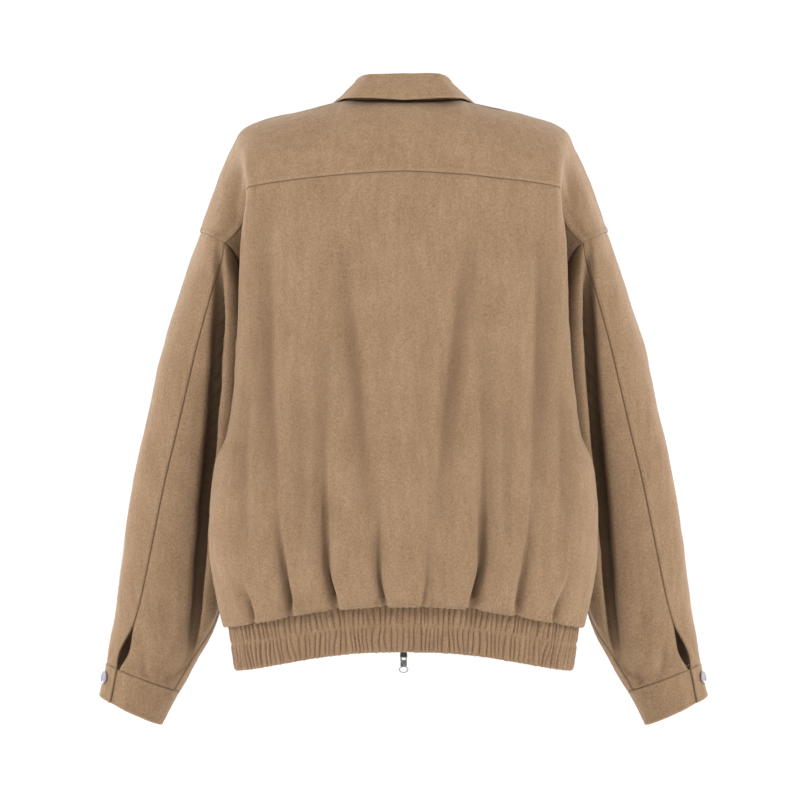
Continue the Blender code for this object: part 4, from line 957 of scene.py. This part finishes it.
rib_nodes = rib_tree()
band_front = band_grid(False, BAND_HALF_COLUMNS - 60)
band_front[:, 0, 0] = ZIP_OPENING
bands = [("back", both_halves(band_grid(True, BAND_HALF_COLUMNS)), (0, 1, -0.63), 0.98)]
for side, place in SIDES:
    bands.append((f"front_{side}", place(band_front), place(np.array([0.1, -1.0, -0.63])), 0.40))
for number, (part, grid, outside, width) in enumerate(bands):
    out = outwards_of(grid, outside)
    edges = distances(grid)
    rounding = turned_edge(edges.low, radius=0.0012) + turned_edge(edges.high, radius=0.0014)
    rounding += turned_edge(edges.first, edges.last, radius=0.0008)
    grid = grid - out * rounding[..., None]
    thickness = thinned(BAND_THICKNESS, rounding, 0.8)
    band = cloth_wall(f"waistband_{part}_suede", grid, out, thickness, rib_suede)
    along = edges.first * edges.first[0, -1] / edges.first[:, -1:]
    set_values(band.data, "along", np.tile(along.ravel(), 2))
    set_values(band.data, "up", np.tile((edges.high / edges.high[:1]).ravel(), 2))
    set_values(band.data, "face", np.repeat([1.0, 0.0], along.size))
    values = {"Pitch": RIB_PITCH, "Depth": RIB_DEPTH, "Seed": 3.7 * number}
    grown(band, rib_nodes, {**values, "Material": rib_suede})
    put_on(
        band, "jacket", "ribbed_suede", f"waistband_{part}", flat=(width, BAND_HEIGHT),
        held="gathered", rests_on=["back_panel"], area=width * BAND_HEIGHT * 0.68,
    )
    middle = beside_edge(grid, "low", lengths(grid)[-1].mean() / 2)
    stitch_lines["body"].append(middle - out[BAND_ROWS // 2] * BAND_STITCH_SUNK)
    if number:
        topstitch("body", grid, FRONT_EDGE_STITCH, "first")

# ------------------------------------------------------------------ collar
# A shirt collar of two layers with a stand inside the neck; the fall turns down over the neck
# seam, clear of it, and spreads into two points in front. Its edge is turned in and topstitched.
Collar = namedtuple("Collar", "angle roll_x roll_y roll_z edge_x edge_y edge_z")
COLLAR = in_mm(Collar, (
    (0, 0, 60, 27, 0, 85, -6.2), (40, 40, 50, 26.8, 57, 70.5, -2.6), (90, 56, 4, 18, 79, 6, -0.8),
    (130, 46, -44, -6, 94, -60, -15), (158, 26, -74, -33, 85, -102, -56),
    (173, 9, -85, -44, 60, -120, -96),
), plain=("angle",))
ROLL_RADIUS, COLLAR_SEAM, COLLAR_END = 0.0035, -0.0014, 173.0
STAND_HOLLOW, FALL_CROWN = 0.001, 0.0015
COLLAR_HALF_COLUMNS, COLLAR_ROWS, COLLAR_STITCH = 96, 56, 0.0038


def collar_half(angles):
    """Rows from the neck seam up the stand, over the roll and down the fall, at each angle."""
    knots, *columns = zip(*COLLAR)
    across_fold = np.stack([through(knots, values, angles) for values in columns], axis=1)
    roll, edge = across_fold[:, :3], across_fold[:, 3:]
    foot = neckline(angles) + unit(roll - neckline(angles)) * COLLAR_SEAM
    away = unit((edge - roll) * np.array([1.0, 1.0, 0.0]))
    up = np.array([0.0, 0.0, 1.0])

    def round_roll(across, down):
        return roll + (away * across - up * down) * ROLL_RADIUS

    inner, outer = round_roll(-1, 1), round_roll(1, 1)
    crest = [round_roll(-0.5, 0.25), round_roll(0.5, 0.25)]
    stand, fall = (foot + inner) / 2 - away * STAND_HOLLOW, (outer + edge) / 2 + away * FALL_CROWN
    rows = np.array([foot, stand, inner, *crest, outer, fall, edge])
    fine = np.empty((COLLAR_ROWS, len(angles), 3))
    for j in range(len(angles)):
        along = lengths(rows[:, j])
        at = crowded(COLLAR_ROWS, 0.8, 0.3) * along[-1]
        fine[:, j] = np.stack([through(along, rows[:, j, k], at) for k in range(3)], axis=1)
    return fine


collar = both_halves(collar_half(crowded(COLLAR_HALF_COLUMNS, 1.0, 0.35) * COLLAR_END))
edges = distances(collar)
loose = (edges.high, edges.first, edges.last)
rounding = turned_edge(*loose, radius=0.0012)
lift = 0.0005 * undulation(collar, 0.05, 51) * smooth(edges.low / 0.02) - rounding
lift += seam_ridge(*loose, width=COLLAR_STITCH, height=0.0004)
collar = sew(
    "collar", collar, outwards_of(collar, (0, 0.2, 0.1)), lift, thinned(DOUBLE_CLOTH, rounding),
    worn=0.6 * np.exp(-np.minimum.reduce(loose) / 0.002),
    flat=(0.46, 0.095), held="folded", rests_on=["back_yoke"], area=0.036,
)
topstitch("body", collar, COLLAR_STITCH, "high", "first", "last")

# ------------------------------------------------------------------ topstitching
# Every turned edge and most seams are topstitched by machine, with polyester thread of the same
# tan a little lighter. Each stitch is a short rounded run of thread between two needle holes.
STITCH_LENGTH, STITCH_PITCH, THREAD_THICKNESS = 0.0024, 0.0031, 0.00058


def spaced_out_tree(name):
    """Puts copies of one small piece at even steps along lines, turned to follow them."""
    sockets = {"Pitch": "Float", "Start": "Float", "Piece": "Object", "Material": "Material"}
    tree, given, result = node_group(name, sockets)
    curve = add(tree, "GeometryNodeMeshToCurve", {"Mesh": given["Geometry"]}).outputs[0]
    trimmed = {"Curve": curve, 4: given["Start"], 5: 10.0}
    trimmed = add(tree, "GeometryNodeTrimCurve", trimmed, mode="LENGTH").outputs[0]
    steps = {"Curve": trimmed, "Length": given["Pitch"]}
    steps = add(tree, "GeometryNodeResampleCurve", steps, mode="LENGTH").outputs[0]
    turn = {"Vector": add(tree, "GeometryNodeInputTangent").outputs[0]}
    turn = add(tree, "FunctionNodeAlignRotationToVector", turn, axis="Z", pivot_axis="X")
    piece = add(tree, "GeometryNodeObjectInfo", {"Object": given["Piece"]}).outputs["Geometry"]
    copies = {"Points": steps, "Instance": piece, "Rotation": turn.outputs[0]}
    rows = add(tree, "GeometryNodeInstanceOnPoints", copies).outputs[0]
    return finish_tree(tree, rows, given["Material"], result)


def line_object(name, rows):
    """A mesh of edges only, along each of the rows of points."""
    mesh = bpy.data.meshes.new(name)
    edges, start = [], 0
    for row in rows:
        edges += [(start + k, start + k + 1) for k in range(len(row) - 1)]
        start += len(row)
    mesh.from_pydata(np.concatenate(rows), edges, [])
    return new_object(name, mesh)


thread, tree, shader, place = new_material("tan_thread")
fibres = noise(tree, place, 900.0, 2.0)
colour = tones(tree, fibres, (0.130, 0.082, 0.046), (0.250, 0.172, 0.104))
fill(shader, {"Base Color": colour, "Roughness": 0.7, "Normal": bump(tree, 0.4, 0.0002, fibres)})

along_lines = spaced_out_tree("spaced_along_lines")
bpy.ops.mesh.primitive_uv_sphere_add(segments=6, ring_count=5, radius=0.5)
stitch = bpy.context.object
stitch.data.transform(Matrix.Diagonal((THREAD_THICKNESS, THREAD_THICKNESS, STITCH_LENGTH, 1.0)))
stitch.data.shade_smooth()
for group, lines in stitch_lines.items():
    rows = line_object(f"topstitching_{group}", lines)
    values = {"Pitch": STITCH_PITCH, "Start": 0.0, "Piece": stitch, "Material": thread}
    grown(rows, along_lines, values)
    put_on(rows, "jacket", "suede")
bpy.data.objects.remove(stitch)

# ------------------------------------------------------------------ zip tapes and teeth
# A heavy metal zip closes the front from the hem to the throat. Its woven tapes are sewn behind
# the two edges, and each carries a row of teeth that mesh with the other's.
TEETH_FRONT, TEETH_REAR = 0.0022, 0.0046  # behind the face of the cloth
TEETH_DEPTH = TEETH_REAR - TEETH_FRONT
CHAIN_START, CHAIN_END, TAPE_START, TAPE_END = 0.0020, 0.012, 0.0015, 0.004
TAPE_EDGES, TAPE_DEPTH, TAPE_THICKNESS = (0.0012, 0.0106), 0.0038, 0.0007
TOOTH_PITCH, TOOTH_WIDTH, TOOTH_HEIGHT, TOOTH_PLACE = 0.0027, 0.0036, 0.0014, 0.0009

# The middle of the zip on the cloth's outer side, from the band's lower edge to the throat.
band_top = np.array([0.0, BODY[0].zip_y, BODY[0].zip_z - BAND_CLEARANCE])
hem = band_top + np.array([0.0, BAND_LEAN * BODY[0].zip_y / -BODY[0].back_y, -BAND_HEIGHT])
zip_path = body_rows(np.arange(0, SHOULDER + 0.01, 0.1), False, [0.0, 0.5])[:, 0]
zip_path = np.concatenate([[hem, (hem + band_top) / 2], zip_path])
zip_length = lengths(zip_path)[-1]


def zip_line(start, end, depth, sides, step=0.004):
    """Lines along the zip, cut short at both ends, behind the face of the cloth and to a side."""
    count = max(2, round((zip_length - end - start) / step))
    line = at_distance(zip_path, np.linspace(start, zip_length - end, count))
    into = np.cross(np.array([1.0, 0.0, 0.0]), unit(np.gradient(line, axis=0)))
    into *= np.sign(into[:, 1:2])
    return [line + into * depth + np.array([x, 0.0, 0.0]) for x in sides]


woven, tree, shader, place = new_material("woven_zip_tape", "UV")
slanted = add(tree, "ShaderNodeMapping", {"Vector": place, "Rotation": (0.0, 0.0, 0.7)})
twill = {"Vector": slanted.outputs["Vector"], "Scale": 260.0, "Distortion": 0.6, "Detail": 1.0}
twill = add(tree, "ShaderNodeTexWave", twill).outputs["Fac"]
colour = tones(tree, twill, (0.060, 0.036, 0.020), (0.135, 0.086, 0.052))
fill(shader, {"Base Color": colour, "Roughness": 0.85, "Normal": bump(tree, 0.5, 0.0003, twill)})
for side, place in SIDES:
    columns = zip_line(TAPE_START, TAPE_END, TAPE_DEPTH, np.linspace(*TAPE_EDGES, 6))
    grid = place(np.stack(columns, axis=1))
    tape = cloth_wall(
        f"zip_tape_{side}_woven", grid, outwards_of(grid, (0.0, -1.0, -0.3)), TAPE_THICKNESS, woven
    )
    put_on(
        tape, "jacket", "zip_tape", f"zip_tape_{side}",
        flat=(0.0125, 0.60), held="stretched", rests_on=[f"front_{side}"], area=0.0058,
    )


def metal(name, dark, light, roughness, scratches, bare=1.0):
    """Plated or painted metal: its tone and gloss drift a little, with fine rubbed lines."""
    material, tree, shader, place = new_material(name)
    rubbed = add(tree, "ShaderNodeMapping", {"Vector": place, "Scale": (1.0, 1.0, 0.1)}).outputs[0]
    lines = noise(tree, rubbed, 2600.0, 2.0)
    fill(shader, {
        "Base Color": tones(tree, noise(tree, place, 420.0, 3.0), dark, light, 0.3, 0.7),
        "Roughness": fade(tree, lines, 0.0, 1.0, roughness - 0.08, roughness + 0.12),
        "Normal": bump(tree, scratches, 0.00005, lines), "Metallic": bare,
    })
    return material


gunmetal = metal("gunmetal_teeth", (0.07, 0.062, 0.055), (0.16, 0.145, 0.13), 0.38, 0.3)


def softened(obj, bevel):
    """The object with its sharp edges rounded."""
    soften = obj.modifiers.new("bevel", "BEVEL")
    soften.width, soften.segments = bevel, 2
    soften.limit_method, soften.angle_limit = "ANGLE", math.radians(40)
    return baked(obj)


def rounded_block(name, size, bevel):
    """A block centred on the origin with rounded edges."""
    bpy.ops.mesh.primitive_cube_add(size=1.0)
    block = bpy.context.object
    block.name = name
    block.data.transform(Matrix.Diagonal((*size, 1.0)))
    return softened(block, bevel)


def joined(name, objects):
    """Several plain meshes as one piece."""
    with bpy.context.temp_override(active_object=objects[0], selected_editable_objects=objects):
        bpy.ops.object.join()
    objects[0].name = objects[0].data.name = name
    return objects[0]


tooth = rounded_block("tooth", (TOOTH_WIDTH, TEETH_DEPTH, TOOTH_HEIGHT), 0.0003)
teeth = []
for number, x in enumerate((TOOTH_PLACE, -TOOTH_PLACE)):
    row = zip_line(CHAIN_START, CHAIN_END, (TEETH_FRONT + TEETH_REAR) / 2, [x])
    values = {"Pitch": TOOTH_PITCH, "Start": number * TOOTH_PITCH / 2, "Piece": tooth}
    values["Material"] = gunmetal
    teeth.append(grown(line_object(f"teeth_{number}", row), along_lines, values))
bpy.data.objects.remove(tooth)
put_on(joined("zip_teeth_metal", teeth), "jacket", "zip_teeth", "zip_chain")

# ------------------------------------------------------------------ sliders and pulls
# Two die-cast nickel sliders run on the chain: two plates with inturned flanges round the teeth,
# joined by a post, and a bridge that holds the pull. Each pull is a flat tab with a ribbed grip
# and a wire ring at its foot; it swings on its upper bar, which lies loose under the bridge.
PLATE_WIDTH, PLATE_LENGTH, PLATE_THICKNESS, PLATE_GAP = 0.0092, 0.0110, 0.0012, 0.0004
FLANGE_WIDTH, FLANGE_DEPTH, FLANGE_SUNK = 0.0008, 0.0010, 0.0002
POST_WIDTH, POST_LENGTH = 0.0044, 0.0030
ARCH_WIDTH, ARCH_LENGTH, ARCH_HEIGHT, ARCH_WALL, ARCH_FOOT = 0.0024, 0.0070, 0.0038, 0.0010, 0.0005
BAR, BAR_CLEARANCE, BAR_DEPTH = 0.0011, 0.0004, 0.0019
PULL_WIDTH, PULL_LENGTH = 0.0082, 0.0152
WINDOW_WIDTH, WINDOW_LENGTH = 0.0046, 0.0056
RING_WIDTH, RING_HEIGHT, RING_WIRE, RING_OVERLAP = 0.0116, 0.0086, 0.0013, 0.0012
GRIP_RIBS, GRIP_WIDTH = 6, 0.0052
METAL_BEVEL, FINE_BEVEL = 0.0003, 0.0002
PIVOT_Y = -PLATE_GAP - PLATE_THICKNESS - BAR_DEPTH
PIVOT_Z = ARCH_WALL - ARCH_LENGTH / 2 + BAR_CLEARANCE + BAR / 2
LOWER_PULL_PLAY = Vector((0.0, 0.0011, 0.0))  # it hangs that far behind the middle of its bearing
SLIDERS = (("lower", -1, math.radians(8.55)), ("upper", 1, math.radians(-30.66)))  # post, lean
nickel = metal("worn_nickel", (0.075, 0.073, 0.070), (0.215, 0.208, 0.20), 0.30, 0.25)


def rounded_outline(width, length, corner, middle=(0.0, 0.0), taper=1.0):
    """A rectangle in the XZ plane with rounded corners. Its lower end is narrower by taper."""
    outline = []
    for x_way, z_way, start in ((1, 1, 0), (-1, 1, 90), (-1, -1, 180), (1, -1, 270)):
        for turn in np.radians(np.linspace(start, start + 90, 5)):
            x = x_way * (width / 2 - corner) + corner * math.cos(turn)
            z = z_way * (length / 2 - corner) + corner * math.sin(turn)
            x *= taper + (1 - taper) * (z / length + 0.5)
            outline.append((x + middle[0], z + middle[1]))
    return outline


def cut_plate(name, low, high, outer, inner=(), bevel=METAL_BEVEL):
    """A plate between two y, of an outline in the XZ plane, with an opening of another outline."""
    count = len(outer)
    points = [(x, y, z) for loop in (outer, inner) for y in (low, high) for x, z in loop]
    faces = []
    for k in range(count):
        after = (k + 1) % count
        faces.append((k, after, count + after, count + k))
        if inner:
            near, far = 2 * count, 3 * count
            faces.append((near + after, near + k, far + k, far + after))
            faces.append((after, k, near + k, near + after))
            faces.append((count + k, count + after, far + after, far + k))
    if not inner:
        faces += [tuple(range(count))[::-1], tuple(range(count, 2 * count))]
    mesh = bpy.data.meshes.new(name)
    mesh.from_pydata(points, [], faces)
    return softened(new_object(name, mesh), bevel)


def moved_by(obj, matrix):
    obj.data.transform(matrix)
    return obj


def slider_parts(post_at):
    """Plates, flanges, post and bridge: x across, z up the zip, y = 0 on the face of the teeth."""
    front, rear = -PLATE_GAP, TEETH_DEPTH + PLATE_GAP
    top = front - PLATE_THICKNESS
    taper = 0.80 if post_at > 0 else 1.25
    plate = rounded_outline(PLATE_WIDTH / max(1.0, taper), PLATE_LENGTH, 0.0016, taper=taper)
    parts = [
        cut_plate("front_plate", top, front, plate),
        cut_plate("rear_plate", rear, rear + PLATE_THICKNESS, plate),
    ]
    half = PLATE_WIDTH / 2 * min(1.0, 0.5 + 0.5 * min(taper, 1 / taper)) - FLANGE_WIDTH / 2
    reach = FLANGE_DEPTH / 2 - FLANGE_SUNK
    for x_way in (-1, 1):
        for y in (front + reach, rear - reach):
            flange = (FLANGE_WIDTH, FLANGE_DEPTH, PLATE_LENGTH * 0.72)
            flange = rounded_block("flange", flange, FINE_BEVEL)
            lean = Matrix.Rotation(x_way * math.atan((1 - taper) * 0.4), 4, "Y")
            parts.append(moved_by(flange, Matrix.Translation((x_way * half, y, 0.0)) @ lean))
    post = (0.0, post_at * (PLATE_LENGTH - POST_LENGTH) / 2)
    post = rounded_outline(POST_WIDTH, POST_LENGTH, 0.0010, post)
    parts.append(cut_plate("post", front - 0.0005, rear + 0.0005, post))
    arch = rounded_outline(ARCH_HEIGHT + ARCH_FOOT, ARCH_LENGTH, 0.0014)
    hole = (ARCH_HEIGHT + ARCH_FOOT - ARCH_WALL, ARCH_LENGTH - 2 * ARCH_WALL)
    hole = rounded_outline(*hole, 0.0009, (ARCH_WALL / 2, 0.0))
    bridge = cut_plate("bridge", -ARCH_WIDTH / 2, ARCH_WIDTH / 2, arch, hole)
    lift = Matrix.Translation((0.0, top - (ARCH_HEIGHT - ARCH_FOOT) / 2, 0.0))
    return [*parts, moved_by(bridge, lift @ Matrix.Rotation(math.pi / 2, 4, "Z"))]


def pull_parts():
    """Tab, grip and ring, hanging from the bar under the bridge."""
    high = PIVOT_Z + BAR / 2
    low = high - PULL_LENGTH
    tab = rounded_outline(PULL_WIDTH, PULL_LENGTH, 0.0016, (0.0, (high + low) / 2), 0.94)
    window_middle = high - BAR - WINDOW_LENGTH / 2
    window = rounded_outline(WINDOW_WIDTH, WINDOW_LENGTH, 0.0008, (0.0, window_middle))
    parts = [cut_plate("tab", PIVOT_Y - BAR / 2, PIVOT_Y + BAR / 2, tab, window, FINE_BEVEL)]
    for z in np.linspace(low + 0.0014, window_middle - WINDOW_LENGTH / 2 - 0.0011, GRIP_RIBS):
        rib = rounded_block("rib", (GRIP_WIDTH, BAR + 0.0005, 0.0006), FINE_BEVEL)
        parts.append(moved_by(rib, Matrix.Translation((0.0, PIVOT_Y, z))))
    wire = RING_WIRE / 2
    bpy.ops.mesh.primitive_torus_add(
        major_segments=48, minor_segments=12, major_radius=RING_WIDTH / 2 - wire, minor_radius=wire
    )
    squeeze = (RING_HEIGHT / 2 - wire) / (RING_WIDTH / 2 - wire)
    centre = Matrix.Translation((0.0, PIVOT_Y, low - RING_HEIGHT / 2 + RING_OVERLAP))
    turned = Matrix.Diagonal((1, 1, squeeze, 1)) @ Matrix.Rotation(math.pi / 2, 4, "X")
    return [*parts, moved_by(bpy.context.object, centre @ turned)]


to_pivot = Matrix.Translation((0.0, -PIVOT_Y, -PIVOT_Z))
joints = {joint["name"]: joint for joint in frame["joints"]}
for name, post_at, lean in SLIDERS:
    pivot = Vector(joints[f"{name}_pull_swing"]["pos_m"])
    in_place = Matrix.Translation(pivot) @ Matrix.Rotation(lean, 4, "X") @ to_pivot
    free = in_place if name == "upper" else Matrix.Translation(pivot + LOWER_PULL_PLAY) @ to_pivot
    for piece, body, parts, where in (
        (f"slider_{name}", "jacket", slider_parts(post_at), in_place),
        (f"pull_{name}", f"{name}_pull", pull_parts(), free),
    ):
        whole = moved_by(joined(f"{piece}_metal", parts), where)
        whole.data.materials.clear()
        whole.data.materials.append(nickel)
        put_on(whole, body, "zip_metal", piece)

# ------------------------------------------------------------------ snaps
# The cap of a press snap shows on the outer end of each cuff's lap. It is a shallow pressed cup
# with a rolled rim, sprayed a dull grey, and is clenched through both layers.
SNAP_ANGLE, SNAP_RING, SNAP_CLEARANCE, SNAP_STEPS = 20.0, CUFF_SEAM + 0.42, 0.0004, 40
SNAP_PROFILE = (  # radius and height in millimetres
    (3.0, 1.8), (4.7, 1.5), (5.3, 1.5), (5.9, 2.0), (6.6, 2.4), (7.2, 2.1), (7.5, 1.4),
    (7.5, 0.6), (7.1, 0),
)
SNAP_MIDDLE = 0.0019
snap_grey = metal("snap_enamel", (0.13, 0.12, 0.14), (0.21, 0.195, 0.22), 0.5, 0.1, 0.3)
turn = np.linspace(0, math.tau, SNAP_STEPS, endpoint=False)
rim = np.stack([np.cos(turn), np.sin(turn), np.ones(SNAP_STEPS)], axis=1)
cap_points = [np.array([[0.0, 0.0, SNAP_MIDDLE]])]
cap_points += [rim * np.array([radius, radius, height]) / 1000 for radius, height in SNAP_PROFILE]
steps = np.arange(1, SNAP_STEPS + 1)
beyond = np.roll(steps, -1)
cap_faces = [(0, k, n) for k, n in zip(steps, beyond)]
for inner in range(0, SNAP_STEPS * (len(SNAP_PROFILE) - 1), SNAP_STEPS):
    outer = inner + SNAP_STEPS
    cap_faces += [(inner + k, outer + k, outer + n, inner + n) for k, n in zip(steps, beyond)]
cap_faces.append(tuple(outer + steps[::-1]))
across = tube(SNAP_ANGLE + 1, SNAP_RING) - tube(SNAP_ANGLE - 1, SNAP_RING)
down = tube(SNAP_ANGLE, SNAP_RING + 0.1) - tube(SNAP_ANGLE, SNAP_RING - 0.1)
outwards = unit(np.cross(across, down))
outwards *= np.sign(outwards[0])
for side, place in SIDES:
    way = Vector(place(outwards))
    middle = Matrix.Translation(Vector(place(tube(SNAP_ANGLE, SNAP_RING))) + way * SNAP_CLEARANCE)
    mesh = bpy.data.meshes.new(f"snap_{side}_cap")
    mesh.from_pydata(np.concatenate(cap_points), [], cap_faces)
    mesh.transform(middle @ way.to_track_quat("Z", "Y").to_matrix().to_4x4())
    mesh.shade_smooth()
    mesh.materials.append(snap_grey)
    put_on(new_object(f"snap_{side}_cap", mesh), "jacket", "snap_metal", f"snap_{side}")
